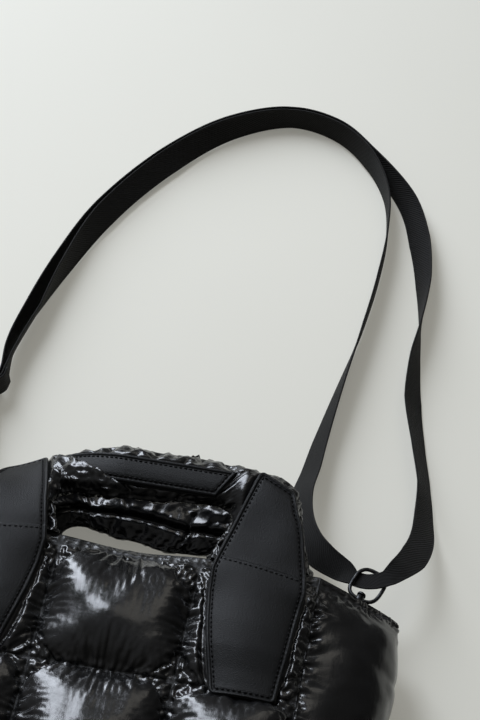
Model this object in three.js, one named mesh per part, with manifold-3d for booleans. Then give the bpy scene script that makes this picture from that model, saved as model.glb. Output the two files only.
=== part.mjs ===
// Quilted mini tote lying on its back with its front face up: padded nylon panels and handles, leather
// tabs and grips, and a doubled webbing shoulder strap on two swivel eyes.
// Millimetres, X along the width, Y towards the mouth, +Z up, resting on z = 0.
import * as THREE from 'three';
import { mergeVertices } from 'three/addons/utils/BufferGeometryUtils.js';
import Module from 'manifold-3d';

const wasm = await Module();
wasm.setup();

// Panels
const panelHalf = { top: 123, bottom: 121 };
const columnHalf = 46;
const topEdge = 45;
const bottomSeam = -135;
const frontRise = { top: 74, bottom: 88 };
const mouthSag = { depth: 8, half: 50, reach: 65 };
const backTopEdge = 49;
const backSeamRise = 6;
const seamGap = 1.1;
const seamHalfThick = 0.8;
const touchGap = 0.4;
const puff = { full: 15, pressed: 7.4, inside: 4, gusset: 7, base: 11, backInside: 8 };
const gather = { lift: 0.9, reach: 0.32 };
const gussetDepth = 135;
const stopsPerCell = { front: 8, back: 6, base: 6, gusset: 12 };

// The middle line of a side gusset, where it folds outwards
const gussetFold = [
  { along: 0, x: 172, y: 37, z: 41 },
  { along: 0.25, x: 174, y: -2, z: 41 },
  { along: 0.5, x: 170, y: -48, z: 42 },
  { along: 0.75, x: 160, y: -106, z: 44 },
  { along: 1, x: 146, y: -157, z: 46 },
];
const baseFold = { y: -161, cornerY: -157, z: 48, cornerZ: 46 };

// Handles: x and s (distance above the panel's top edge) of the inner and the outer outline, right half
const handleRows = [
  { innerX: 50, innerS: 0, outerX: 117, outerS: 0, half: 8 },
  { innerX: 53, innerS: 10, outerX: 113, outerS: 12, half: 8 },
  { innerX: 56, innerS: 20, outerX: 108, outerS: 28, half: 8 },
  { innerX: 58.5, innerS: 28, outerX: 104, outerS: 45, half: 8 },
  { innerX: 58.5, innerS: 34, outerX: 99, outerS: 58, half: 8.4 },
  { innerX: 54, innerS: 38, outerX: 88, outerS: 67, half: 8.8 },
  { innerX: 45, innerS: 39, outerX: 73, outerS: 70, half: 9 },
  { innerX: 24, innerS: 39, outerX: 36, outerS: 72.5, half: 9 },
];
const handleTop = { innerX: 0, innerS: 39, outerX: 0, outerS: 73, half: 9 };
const handleSides = 12;
const ovalPower = 2.5;
const droop = { rest: 2, left: 38, from: 15, over: 85, bendLength: 30 };
const backHandleRise = 11.4;
const backHoleShare = 0.81;

// Leather
const leatherThick = 1.8;
const tabCentre = 85.5;
const tabRows = [
  { s: 66, half: 12.5, lift: 8.8, shift: 0 },
  { s: 58, half: 15, lift: 10.4, shift: 0 },
  { s: 40, half: 19.5, lift: 10.2, shift: 0 },
  { s: 20, half: 24.5, lift: 9.4, shift: 0 },
  { s: 2, half: 29.5, lift: 9.4, shift: 0 },
  { s: -9, half: 31, lift: 9.4, shift: 0 },
  { s: -25, half: 29.5, lift: 9.4, shift: 0.4 },
  { s: -45, half: 27, lift: 9.4, shift: 1.4 },
  { s: -62, half: 24.8, lift: 8.4, shift: 2.4 },
  { s: -77, half: 22.5, lift: 6.2, shift: 3.2 },
  { s: -88, half: 21.2, lift: 5.6, shift: 3.8 },
  { s: -95, half: 20.4, lift: 6, shift: 4.1 },
];
const tabCrown = 2.2;
const tabFootDent = { depth: 1.8, reach: 6 };
const tabSlant = { drop: 0.5, from: 20, over: 46 };
const grip = { low: 41, high: 61, lowHalf: 47, highHalf: 58, bandMiddle: 56, bandHalf: 17, bandThick: 9 };

// Swivel eyes, hooks and the loops that hold them
const eye = { half: [11.5, 13.5], wire: 1.3, steps: 24, sides: 6, power: 3 };
const boss = { radius: 2.7, hole: 1.75, length: 4.4 };
const post = { knob: 3, shaft: 1.4, collar: 3, inside: 3.6, outside: 5 };
const hook = { half: [8, 11], wire: 1.6, steps: 16, sides: 6, power: 2 };
const sideLoop = { radius: 3.6, thick: 1.4, rise: 3, width: 7 };
const rightEye = { at: [153, 61, 42], long: [0.92, -0.33, 0], out: [0.33, 0.92, -0.16] };
const leftEye = { at: [-150, 61, 38], long: [1, 0, 0], out: [0, 0.99, -0.04] };

// Strap: rows run from the right eye round the loop. Rise is the lower edge's height above the floor,
// lean the turn from standing on edge, in degrees, towards the inside of the loop
const strapWidth = 20;
const strapThick = 1.4;
const strapStep = 15;
const strandOffset = 1.35;
const bunchedWidth = 0.58;
const outerRun = [
  { x: 172, y: 77, rise: 38, lean: 74 },
  { x: 180, y: 92, rise: 28, lean: 66 },
  { x: 184, y: 111, rise: 16.5, lean: 56 },
  { x: 183, y: 133, rise: 7, lean: 42 },
  { x: 180, y: 158, rise: 2, lean: 30 },
  { x: 172, y: 190, rise: 0.5, lean: 32 },
  { x: 163, y: 228, rise: 0.5, lean: 40 },
  { x: 160, y: 262, rise: 0.5, lean: 24 },
  { x: 160, y: 293, rise: 0.5, lean: 0 },
  { x: 157, y: 332, rise: 0.5, lean: -30 },
  { x: 149, y: 370, rise: 0.5, lean: -46 },
  { x: 135, y: 404, rise: 0.5, lean: -36 },
];
const innerRun = [
  { x: 136, y: 71, rise: 34, lean: -78 },
  { x: 119, y: 80, rise: 33, lean: -72 },
  { x: 109, y: 91, rise: 29, lean: -64 },
  { x: 101.5, y: 108, rise: 22, lean: -56 },
  { x: 98, y: 132.5, rise: 13, lean: -48 },
  { x: 100.5, y: 157, rise: 4.6, lean: -42 },
  { x: 103, y: 183, rise: 0.5, lean: -35 },
  { x: 110, y: 231, rise: 0.5, lean: -18 },
  { x: 118, y: 281, rise: 0.5, lean: -4 },
  { x: 123, y: 328, rise: 0.5, lean: 0 },
  { x: 124, y: 372, rise: 0.5, lean: 0 },
  { x: 118, y: 408, rise: 0.5, lean: -6 },
];
// Through the right eye, in its own frame: under its near wire and out over its far corner, the strap's
// width turning in the plane of the eye, in degrees
const throughEye = [
  { along: -12, out: 2.5, lift: -3.2, turn: 0 },
  { along: -1.5, out: 3, lift: -0.2, turn: 24 },
  { along: 8.5, out: 9.5, lift: 3.4, turn: 52 },
];
const pairRun = [
  { x: 100, y: 441, rise: 0.4, lean: -16 },
  { x: 72, y: 463, rise: 0.4, lean: -12 },
  { x: 34, y: 470, rise: 0.3, lean: -6 },
  { x: -12, y: 450, rise: 0.6, lean: -22 },
  { x: -58, y: 411, rise: 1, lean: -46 },
  { x: -92, y: 352, rise: 1, lean: -44 },
  { x: -114, y: 298, rise: 0.8, lean: -26 },
  { x: -124, y: 254, rise: 1.2, lean: -6 },
  { x: -129, y: 217, rise: 2.6, lean: 0 },
];
const leftRun = [
  { x: -135, y: 146, rise: 6, lean: 15 },
  { x: -141, y: 120, rise: 18, lean: 48 },
  { x: -147, y: 102, rise: 32, lean: 78 },
];

// Slider, standing on edge: distances along the strap and outwards of the strap's middle
const slider = { at: [-135, 180], along: [-0.1, -0.995], rise: 3.5 };
const sliderBar = { half: 1.3, side: 2.6, slot: 6.5, thick: 2.2, opening: 21.4, height: 27 };
const sliderTail = [
  { along: -34, out: -7.2 },
  { along: -16, out: -7.2 },
  { along: -8, out: -6.9 },
  { along: -5, out: -5.3 },
  { along: -2.5, out: -3.3 },
  { along: 0, out: -2.4 },
  { along: 1.5, out: -2.1 },
  { along: 2.5, out: -1 },
  { along: 2.5, out: 1 },
  { along: 1.5, out: 2.1 },
  { along: 0, out: 2.4 },
  { along: -1.5, out: 2.1 },
  { along: -2.5, out: 1 },
  { along: -3.5, out: -0.6 },
  { along: -5.6, out: -3.1 },
  { along: -8, out: -4.9 },
  { along: -16, out: -5.2 },
];
const sliderPass = [
  { along: -16, out: -2.5 },
  { along: -8.6, out: -2.5 },
  { along: -7, out: -1.8 },
  { along: -5.2, out: 0.3 },
  { along: -3.1, out: 3.3 },
  { along: 0, out: 4.7 },
  { along: 3.1, out: 3.3 },
  { along: 5.2, out: 0.3 },
  { along: 7, out: -1.8 },
  { along: 8.6, out: -2.5 },
  { along: 13, out: -2.5 },
];

const V = (x, y, z) => new THREE.Vector3(x, y, z);
const up = V(0, 0, 1);
const mix = THREE.MathUtils.lerp;
const radians = THREE.MathUtils.degToRad;

// Finish of each kind of material
const finish = {
  nylon: { color: 0x0b0b0d, roughness: 0.22, metalness: 0 },
  leather: { color: 0x1a1b1d, roughness: 0.55, metalness: 0 },
  webbing: { color: 0x141413, roughness: 0.85, metalness: 0 },
  gunmetal: { color: 0x242426, roughness: 0.35, metalness: 1 },
};

const bag = new THREE.Group();

function addPiece(name, geometry, kind, parent = bag) {
  const piece = new THREE.Mesh(geometry, new THREE.MeshStandardMaterial(finish[kind]));
  piece.name = name;
  parent.add(piece);
}

// A closed body from points and triangles, turned so that its faces point out
function solid(points, triangles) {
  const volume = triangles.reduce((sum, [a, b, c]) => {
    const normal = points[b].clone().cross(points[c]);
    return sum + points[a].dot(normal);
  }, 0);
  const index = triangles.flatMap(([a, b, c]) => (volume > 0 ? [a, b, c] : [a, c, b]));
  const geometry = new THREE.BufferGeometry().setFromPoints(points);
  geometry.setIndex(index);
  geometry.computeVertexNormals();
  return geometry;
}

// A wall between two grids of points, closed round its rim
function wall(outer, inner) {
  const columns = outer.length;
  const rows = outer[0].length;
  const points = [...outer.flat(), ...inner.flat()];
  const at = (side, i, j) => side * columns * rows + i * rows + j;
  const triangles = [];
  for (let i = 0; i + 1 < columns; i += 1) {
    for (let j = 0; j + 1 < rows; j += 1) {
      const [a, b, c, d] = [at(0, i, j), at(0, i + 1, j), at(0, i + 1, j + 1), at(0, i, j + 1)];
      const [e, f, g, h] = [at(1, i, j), at(1, i + 1, j), at(1, i + 1, j + 1), at(1, i, j + 1)];
      triangles.push([a, b, c], [a, c, d], [e, g, f], [e, h, g]);
    }
  }
  const rim = [];
  for (let i = 0; i + 1 < columns; i += 1) rim.push([i, 0]);
  for (let j = 0; j + 1 < rows; j += 1) rim.push([columns - 1, j]);
  for (let i = columns - 1; i > 0; i -= 1) rim.push([i, rows - 1]);
  for (let j = rows - 1; j > 0; j -= 1) rim.push([0, j]);
  rim.forEach(([i, j], k) => {
    const [m, n] = rim[(k + 1) % rim.length];
    triangles.push([at(0, i, j), at(1, i, j), at(1, m, n)], [at(0, i, j), at(1, m, n), at(0, m, n)]);
  });
  return solid(points, triangles);
}

// A body through rings of points: capped at both ends, or joined end to end
function loft(rings, closed = false) {
  const sides = rings[0].length;
  const points = rings.flat();
  const triangles = [];
  const spans = closed ? rings.length : rings.length - 1;
  for (let i = 0; i < spans; i += 1) {
    const next = (i + 1) % rings.length;
    for (let k = 0; k < sides; k += 1) {
      const [a, b] = [i * sides + k, i * sides + ((k + 1) % sides)];
      const [c, d] = [next * sides + ((k + 1) % sides), next * sides + k];
      triangles.push([a, b, c], [a, c, d]);
    }
  }
  if (!closed) {
    const last = (rings.length - 1) * sides;
    for (let k = 1; k + 1 < sides; k += 1) {
      triangles.push([0, k + 1, k], [last, last + k, last + k + 1]);
    }
  }
  return solid(points, triangles);
}

// Parameter values from 0 to 1 with a stop at every break, closer together near the breaks
function stops(breaks, count) {
  const values = [breaks[0]];
  for (let i = 0; i + 1 < breaks.length; i += 1) {
    for (let k = 1; k <= count; k += 1) {
      const eased = (1 - Math.cos((Math.PI * k) / count)) / 2;
      values.push(mix(breaks[i], breaks[i + 1], eased));
    }
  }
  return values;
}

// Height of a pillow over its unit square, steep at the seams and flat in the middle
function pillow(a, b) {
  const hump = Math.sin(Math.PI * a) * Math.sin(Math.PI * b);
  return Math.sqrt(Math.max(hump, 0));
}

// Gathers: neighbouring lines of points rise and dip by turns close to a seam
function gathers(i, j, a, b) {
  const edge = Math.min(a, 1 - a, b, 1 - b);
  const near = Math.max(0, 1 - edge / gather.reach);
  const turn = (i + j) % 2 ? 1 : -1;
  return turn * gather.lift * near * Math.min(1, edge * 20);
}

// A padded panel: its middle surface swollen both ways, never below the floor level given
function paddedPanel(us, vs, middle, swell, floorAt = () => 0) {
  const nudge = 1e-3;
  const outer = [];
  const inner = [];
  us.forEach((u, i) => {
    const outerLine = [];
    const innerLine = [];
    vs.forEach((v, j) => {
      const here = middle(u, v);
      const alongU = middle(u + nudge, v).sub(middle(u - nudge, v));
      const alongV = middle(u, v + nudge).sub(middle(u, v - nudge));
      const normal = alongU.cross(alongV).normalize();
      const { out, within } = swell(u, v, i, j);
      const outside = here.clone().addScaledVector(normal, seamHalfThick + out);
      outside.z = Math.max(outside.z, floorAt(u, v));
      outerLine.push(outside);
      innerLine.push(here.clone().addScaledVector(normal, -seamHalfThick - within));
    });
    outer.push(outerLine);
    inner.push(innerLine);
  });
  return wall(outer, inner);
}

// Panels stop a little short of their seams
function insetStops(breaks, count, length) {
  const inset = seamGap / length;
  return stops(breaks, count).map((t) => mix(inset, 1 - inset, t));
}

// The sewn cell that a place on a big panel lies in: the place inside it and whether a tab presses it
const columnShare = columnHalf / panelHalf.top;
const columnBreaks = [0, (1 - columnShare) / 2, (1 + columnShare) / 2, 1];

function cell(u, v) {
  const across = 2 * u - 1;
  const side = Math.abs(across) > columnShare;
  const a = side
    ? (Math.abs(across) - columnShare) / (1 - columnShare)
    : (across + columnShare) / (2 * columnShare);
  const b = v < 0.5 ? 2 * v : 2 * v - 1;
  return { a, b, pressed: side && v < 0.5 };
}

function frontHeight(y) {
  return mix(frontRise.bottom, frontRise.top, (y - bottomSeam) / (topEdge - bottomSeam));
}

// The mouth's edge sags between the handle's roots
function sagAt(x, y) {
  const across = Math.max(0, 1 - (x / mouthSag.half) ** 2) ** 2;
  return mouthSag.depth * across * THREE.MathUtils.smoothstep((y - topEdge) / mouthSag.reach + 1, 0, 1);
}

// The top of a lower side cell is held down by the foot of a tab
function underTabFoot(u, v) {
  const foot = tabRows[tabRows.length - 1];
  const below = (v - 0.5) * (topEdge - bottomSeam);
  const beside = Math.abs(Math.abs(2 * u - 1) * panelHalf.top - tabCentre - foot.shift);
  return below > 0 && below < tabFootDent.reach && beside < foot.half + tabFootDent.reach;
}

function frontPanel() {
  const us = insetStops(columnBreaks, stopsPerCell.front, 2 * panelHalf.top);
  const vs = insetStops([0, 0.5, 1], stopsPerCell.front, topEdge - bottomSeam);
  const middle = (u, v) => {
    const x = -mix(panelHalf.top, panelHalf.bottom, v) * (2 * u - 1);
    const y = mix(topEdge, bottomSeam, v);
    return V(x, y, frontHeight(y) - sagAt(x, y));
  };
  const swell = (u, v, i, j) => {
    const { a, b, pressed } = cell(u, v);
    const hump = pillow(a, b);
    const within = hump * puff.inside;
    if (underTabFoot(u, v)) return { out: tabFootDent.depth, within };
    const ripple = pressed ? 0 : gathers(i, j, a, b);
    return { out: hump * (pressed ? puff.pressed : puff.full) + ripple, within };
  };
  return paddedPanel(us, vs, middle, swell);
}

// The back panel lies on the floor, its tabs under it, so its filling moves inwards
function backPanel() {
  const us = insetStops(columnBreaks, stopsPerCell.back, 2 * panelHalf.top);
  const vs = insetStops([0, 0.5, 1], stopsPerCell.back, backTopEdge - bottomSeam);
  const middle = (u, v) => {
    const half = mix(panelHalf.top, panelHalf.bottom, v);
    return V(half * (2 * u - 1), mix(backTopEdge, bottomSeam, v), backSeamRise);
  };
  const swell = (u, v) => {
    const { a, b } = cell(u, v);
    const hump = pillow(a, b);
    return { out: hump * puff.full, within: hump * puff.backInside };
  };
  const floorAt = (u, v) => (cell(u, v).pressed ? leatherThick + touchGap : 0);
  return paddedPanel(us, vs, middle, swell, floorAt);
}

// Share of the fold's depth across a gusset or the base: angular at the mouth, round lower down
function foldShape(u, roundness) {
  const angular = 1 - Math.abs(2 * u - 1) ** 1.3;
  const round = Math.max(Math.sin(Math.PI * u), 0) ** 0.8;
  return mix(angular, round, roundness);
}

function gusset(side) {
  const curve = (field) => {
    const points = gussetFold.map((row) => new THREE.Vector2(row.along, row[field]));
    return new THREE.SplineCurve(points);
  };
  const foldCurves = { x: curve('x'), y: curve('y'), z: curve('z') };
  const middle = (u, v) => {
    const across = THREE.MathUtils.clamp(u, 0, 1);
    const half = mix(panelHalf.top, panelHalf.bottom, v);
    const frontY = mix(topEdge, bottomSeam, v);
    const front = V(half, frontY, frontHeight(frontY));
    const back = V(half, mix(backTopEdge, bottomSeam, v), backSeamRise);
    const t = THREE.MathUtils.clamp(v, 0, 1);
    const fold = V(foldCurves.x.getPoint(t).y, foldCurves.y.getPoint(t).y, foldCurves.z.getPoint(t).y);
    const chord = front.clone().lerp(back, across);
    const depth = fold.sub(front.clone().lerp(back, 0.5));
    const point = chord.addScaledVector(depth, foldShape(across, Math.min(1, 2 * t)));
    return V(side * point.x, point.y, point.z);
  };
  const us = insetStops([0, 1], stopsPerCell.gusset, gussetDepth);
  const vs = insetStops([0, 1], stopsPerCell.gusset, topEdge - bottomSeam);
  const swell = (u, v, i, j) => {
    const hump = pillow(u, v);
    return { out: hump * puff.gusset + gathers(i, j, u, v), within: hump * puff.inside };
  };
  return paddedPanel(us, vs, side < 0 ? middle : (u, v) => middle(1 - u, v), swell);
}

function basePanel() {
  const middle = (u, v) => {
    const across = THREE.MathUtils.clamp(1 - 2 * u, -1, 1);
    const t = THREE.MathUtils.clamp(v, 0, 1);
    const front = V(panelHalf.bottom * across, bottomSeam, frontRise.bottom);
    const back = V(panelHalf.bottom * across, bottomSeam, backSeamRise);
    const corner = gussetFold[gussetFold.length - 1];
    const fold = V(
      corner.x * across,
      mix(baseFold.y, baseFold.cornerY, across * across),
      mix(baseFold.z, baseFold.cornerZ, across * across),
    );
    const chord = front.clone().lerp(back, t);
    const depth = fold.sub(front.clone().lerp(back, 0.5));
    return chord.addScaledVector(depth, foldShape(t, 1));
  };
  const us = insetStops(columnBreaks, stopsPerCell.base, 2 * panelHalf.bottom);
  const vs = insetStops([0, 1], stopsPerCell.gusset, gussetDepth);
  const swell = (u, v, i, j) => {
    const { a } = cell(u, 0);
    const hump = pillow(a, v);
    return { out: hump * puff.base + gathers(i, j, a, v), within: hump * puff.inside };
  };
  return paddedPanel(us, vs, middle, swell);
}

// A place on the upright front: x, distance s above the top edge, and lift off its middle surface.
// Above the edge the handle droops, most at its left shoulder
function frontPlace(x, s, lift) {
  if (s <= 0) return V(x, topEdge + s, frontHeight(topEdge + s) + lift);
  const sideways = THREE.MathUtils.smoothstep((-x - droop.from) / droop.over, 0, 1);
  const full = radians(droop.rest + droop.left * sideways);
  const radius = droop.bendLength / full;
  const turned = full * Math.min(1, s / droop.bendLength);
  const straight = Math.max(0, s - droop.bendLength);
  const y = radius * Math.sin(turned) + straight * Math.cos(full) + lift * Math.sin(turned);
  const fall = radius * (1 - Math.cos(turned)) + straight * Math.sin(full);
  return V(x, topEdge + y, frontRise.top - fall + lift * Math.cos(turned));
}

// The back handle lies flat on the floor with its outer face down
function backPlace(x, s, lift) {
  return V(x, backTopEdge + s, backHandleRise - lift);
}

function oval(across) {
  return Math.max(0, 1 - Math.abs(across) ** ovalPower) ** (1 / ovalPower);
}

// An arched handle: oval sections between its inner and outer outlines, the left half mirrored.
// The back handle's hole is a share lower than the front one's
function handle(place, holeShare = 1) {
  const mirrored = handleRows.map((row) => ({ ...row, innerX: -row.innerX, outerX: -row.outerX }));
  const rows = [...handleRows, handleTop, ...mirrored.reverse()];
  const fields = ['innerX', 'innerS', 'outerX', 'outerS', 'half'];
  const smooth = fields.map((field) => {
    const points = rows.map((row, k) => new THREE.Vector2(k, row[field]));
    return new THREE.SplineCurve(points);
  });
  const count = 2 * (rows.length - 1);
  const rings = [];
  for (let k = 0; k <= count; k += 1) {
    const values = smooth.map((curve) => curve.getPoint(k / count).y);
    const [innerX, innerS, outerX, outerS, half] = values;
    const ring = [];
    for (let m = 0; m < handleSides; m += 1) {
      const angle = (2 * Math.PI * m) / handleSides;
      const across = Math.sign(Math.cos(angle)) * Math.abs(Math.cos(angle)) ** 0.8;
      const lift = Math.sign(Math.sin(angle)) * oval(across) * half;
      const share = (1 + across) / 2;
      const s = Math.max(mix(innerS * holeShare, outerS, share), touchGap);
      ring.push(place(mix(innerX, outerX, share), s, lift));
    }
    rings.push(ring);
  }
  return loft(rings);
}

// Height of a place on a tab: its upper end is cut on a slant, lower on the outside
function tabHeight(row, offset) {
  const share = THREE.MathUtils.smoothstep((row.s - tabSlant.from) / tabSlant.over, 0, 1);
  return row.s - tabSlant.drop * share * (offset + row.half);
}

// A leather tab: a sheet over the handle's root and the cell below it
function frontTab(side) {
  const acrossStops = [-1, -0.72, -0.36, 0, 0.36, 0.72, 1];
  const sheet = (extra) => tabRows.map((row) => acrossStops.map((across) => {
    const offset = across * row.half;
    const crown = tabCrown * (offset / tabRows[5].half) ** 2;
    const s = tabHeight(row, offset);
    return frontPlace(side * (tabCentre + row.shift + offset), s, row.lift - crown + extra);
  }));
  return wall(sheet(leatherThick), sheet(0));
}

// The back tabs lie flat under the handle's roots
function flatSheet(outline) {
  const shape = new THREE.Shape(outline);
  return new THREE.ExtrudeGeometry(shape, { depth: leatherThick, bevelEnabled: false });
}

function backTab(side) {
  const edge = (sign) => tabRows.map((row) => {
    const offset = sign * row.half;
    return new THREE.Vector2(side * (tabCentre + row.shift + offset), backTopEdge + tabHeight(row, offset));
  });
  return flatSheet([...edge(-1), ...edge(1).reverse()]);
}

// A leather grip patch, wider at its upper edge, on the outer face of a handle
function frontGrip() {
  const alongStops = stops([-1, 1], 12);
  const sheet = (extra) => alongStops.map((along) => {
    const line = [];
    for (let k = 0; k <= 4; k += 1) {
      const s = mix(grip.low, grip.high, k / 4);
      const x = along * mix(grip.lowHalf, grip.highHalf, k / 4);
      const across = (0.9 * (s - grip.bandMiddle)) / grip.bandHalf;
      const lift = (grip.bandThick + 2 * touchGap) * oval(across);
      line.push(frontPlace(x, s, lift + extra));
    }
    return line;
  });
  return wall(sheet(leatherThick), sheet(0));
}

function backGrip() {
  const corners = [[-1, grip.low], [1, grip.low], [1, grip.high], [-1, grip.high]];
  return flatSheet(corners.map(([side, s]) => {
    const half = s === grip.low ? grip.lowHalf : grip.highHalf;
    return new THREE.Vector2(side * half, backTopEdge + s);
  }));
}

// Join and cut closed bodies
function toManifold(geometry) {
  const bare = geometry.clone();
  bare.deleteAttribute('normal');
  bare.deleteAttribute('uv');
  const merged = mergeVertices(bare, 1e-4);
  const vertProperties = new Float32Array(merged.attributes.position.array);
  const triVerts = new Uint32Array(merged.index.array);
  return new wasm.Manifold(new wasm.Mesh({ numProp: 3, vertProperties, triVerts }));
}

function fromManifold(body) {
  const { vertProperties, triVerts } = body.getMesh();
  const geometry = new THREE.BufferGeometry();
  geometry.setAttribute('position', new THREE.BufferAttribute(new Float32Array(vertProperties), 3));
  geometry.setIndex(new THREE.BufferAttribute(new Uint32Array(triVerts), 1));
  geometry.computeVertexNormals();
  return geometry;
}

// A closed oval of round wire in the XY plane
function ovalRing({ half, wire, steps, sides, power }) {
  const squared = (value) => Math.sign(value) * Math.abs(value) ** (2 / power);
  const path = [];
  for (let i = 0; i < steps; i += 1) {
    const turn = (2 * Math.PI * (i + 0.5)) / steps;
    path.push(V(half[0] * squared(Math.cos(turn)), half[1] * squared(Math.sin(turn)), 0));
  }
  const rings = path.map((centre, i) => {
    const ahead = path[(i + 1) % steps].clone().sub(path[(i + steps - 1) % steps]).normalize();
    const outward = ahead.cross(up);
    const ring = [];
    for (let k = 0; k < sides; k += 1) {
      const angle = (2 * Math.PI * k) / sides;
      const reach = outward.clone().multiplyScalar(wire * Math.cos(angle));
      ring.push(centre.clone().add(reach).addScaledVector(up, wire * Math.sin(angle)));
    }
    return ring;
  });
  return loft(rings, true);
}

// Eye, hook and loop share a frame: X along the eye, Y out of the mouth, Z off its face
const eyeMiddle = { half: [eye.half[0] - eye.wire, eye.half[1] - eye.wire] };

function strapEye() {
  const ring = ovalRing({ ...eye, half: eyeMiddle.half });
  const sleeve = new THREE.CylinderGeometry(boss.radius, boss.radius, boss.length, 10);
  const bore = new THREE.CylinderGeometry(boss.hole, boss.hole, boss.length * 2, 10);
  sleeve.translate(0, -eyeMiddle.half[1], 0);
  bore.translate(0, -eyeMiddle.half[1], 0);
  return fromManifold(toManifold(ring).add(toManifold(sleeve)).subtract(toManifold(bore)));
}

function strapHook() {
  const bossTop = -eyeMiddle.half[1] + boss.length / 2;
  const bossFoot = -eyeMiddle.half[1] - boss.length / 2;
  const knobFoot = bossTop + touchGap;
  const collarTop = bossFoot - touchGap;
  const profile = [
    [0, knobFoot + post.inside - 1.2],
    [post.knob, knobFoot + post.inside - 2],
    [post.knob, knobFoot],
    [post.shaft, knobFoot],
    [post.shaft, collarTop],
    [post.collar, collarTop],
    [post.collar, collarTop - post.outside],
    [0, collarTop - post.outside],
  ].map(([r, y]) => new THREE.Vector2(r, y)).reverse();
  const stem = new THREE.LatheGeometry(profile, 10);
  const bail = ovalRing(hook);
  bail.translate(0, collarTop - post.outside - hook.half[1] + 1, 0);
  return fromManifold(toManifold(stem).add(toManifold(bail)));
}

// A band standing round the far bar of the hook
function sideLoopBand() {
  const stadium = (radius, path) => {
    path.absarc(0, 0, radius, Math.PI, 2 * Math.PI, false);
    path.absarc(0, sideLoop.rise, radius, 0, Math.PI, false);
    return path;
  };
  const shape = stadium(sideLoop.radius + sideLoop.thick, new THREE.Shape());
  shape.holes.push(stadium(sideLoop.radius, new THREE.Path()));
  const band = new THREE.ExtrudeGeometry(shape, {
    depth: sideLoop.width,
    bevelEnabled: false,
    curveSegments: 8,
  });
  band.translate(0, 0, -sideLoop.width / 2);
  band.rotateX(Math.PI / 2);
  band.rotateZ(Math.PI / 2);
  const bossFoot = -eyeMiddle.half[1] - boss.length / 2;
  const farBar = bossFoot - touchGap - post.outside - 2 * hook.half[1] + 1;
  band.translate(0, farBar, 0);
  return band;
}

function eyeFrame({ at, long, out }) {
  const lengthwise = V(...long).normalize();
  const face = lengthwise.clone().cross(V(...out)).normalize();
  const outward = face.clone().cross(lengthwise);
  const frame = new THREE.Group();
  frame.applyMatrix4(new THREE.Matrix4().makeBasis(lengthwise, outward, face));
  frame.position.set(...at);
  frame.updateMatrix();
  return frame;
}

// Strap stations: a place on the strap's middle line and the direction of its width
function leanStations(rows, offset = 0) {
  return rows.map((row, k) => {
    const before = rows[Math.max(k - 1, 0)];
    const after = rows[Math.min(k + 1, rows.length - 1)];
    const heading = V(after.x - before.x, after.y - before.y, 0).normalize();
    const inward = up.clone().cross(heading);
    const lean = radians(row.lean);
    const width = inward.multiplyScalar(Math.sin(lean)).addScaledVector(up, Math.cos(lean));
    const halfThick = Math.abs(offset) + strapThick / 2;
    const rest = (strapWidth / 2) * Math.cos(lean) + halfThick * Math.abs(Math.sin(lean));
    const outward = heading.clone().cross(width);
    const at = V(row.x, row.y, row.rise + rest).addScaledVector(outward, offset);
    return { at, width, scale: 1 };
  });
}

function sliderStations(rows) {
  const along = V(...slider.along, 0).normalize();
  const outward = along.clone().cross(up);
  return rows.map((row) => {
    const at = V(...slider.at, slider.rise + strapWidth / 2);
    at.addScaledVector(along, row.along).addScaledVector(outward, row.out);
    return { at, width: up.clone(), scale: 1 };
  });
}

// The strap's left end goes over the eye's far bar, round it and back below
function leftEndStations(frame) {
  const bar = eyeMiddle.half[1];
  const turn = eye.wire + 2 * touchGap + strapThick / 2 + 0.3;
  const rows = [
    { out: 15, lift: turn + 0.6 },
    { out: 4, lift: turn + 0.1 },
    { out: 0.6, lift: turn },
    { out: -1.8, lift: 0.7 * turn },
    { out: -turn, lift: 0 },
    { out: -1.8, lift: -0.7 * turn },
    { out: 0.6, lift: -turn },
    { out: 4, lift: -turn - 0.1 },
    { out: 26, lift: -turn + 0.6 },
  ];
  const width = V(1, 0, 0).applyQuaternion(frame.quaternion);
  return rows.map((row) => {
    const at = V(0, bar + row.out, row.lift).applyMatrix4(frame.matrix);
    return { at, width, scale: bunchedWidth };
  });
}

function strap(rightFrame, leftFrame) {
  const outer = leanStations(outerRun);
  const inner = leanStations(innerRun).reverse();
  const atEye = throughEye.map((row) => {
    const at = V(row.along, row.out, row.lift).applyMatrix4(rightFrame.matrix);
    const turn = radians(row.turn);
    const width = V(-Math.sin(turn), Math.cos(turn), 0).applyQuaternion(rightFrame.quaternion);
    return { at, width, scale: bunchedWidth };
  });
  outer[0].scale = (1 + bunchedWidth) / 2;
  inner[inner.length - 1].scale = (1 + bunchedWidth) / 2;
  const stations = [
    ...sliderStations(sliderTail),
    ...leanStations(pairRun, -strandOffset).reverse(),
    ...inner,
    ...atEye,
    ...outer,
    ...leanStations(pairRun, strandOffset),
    ...sliderStations(sliderPass),
    ...leanStations(leftRun),
    ...leftEndStations(leftFrame),
  ];
  const curve = new THREE.CatmullRomCurve3(stations.map((station) => station.at), false, 'centripetal');
  const last = stations.length - 1;
  const rings = [];
  const addRing = (place) => {
    const k = Math.min(Math.floor(place), last - 1);
    const share = place - k;
    const centre = curve.getPoint(place / last);
    const ahead = curve.getTangent(place / last);
    const width = stations[k].width.clone().lerp(stations[k + 1].width, share);
    width.addScaledVector(ahead, -width.dot(ahead)).normalize();
    const face = ahead.clone().cross(width).multiplyScalar(strapThick / 2);
    width.multiplyScalar((strapWidth / 2) * mix(stations[k].scale, stations[k + 1].scale, share));
    const corner = (a, b) => centre.clone().addScaledVector(width, a).addScaledVector(face, b);
    rings.push([corner(1, 1), corner(-1, 1), corner(-1, -1), corner(1, -1)]);
  };
  for (let k = 0; k < last; k += 1) {
    const span = stations[k].at.distanceTo(stations[k + 1].at);
    const steps = Math.max(1, Math.ceil(span / strapStep));
    for (let m = 0; m < steps; m += 1) addRing(k + m / steps);
  }
  addRing(last);
  return loft(rings);
}

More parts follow.
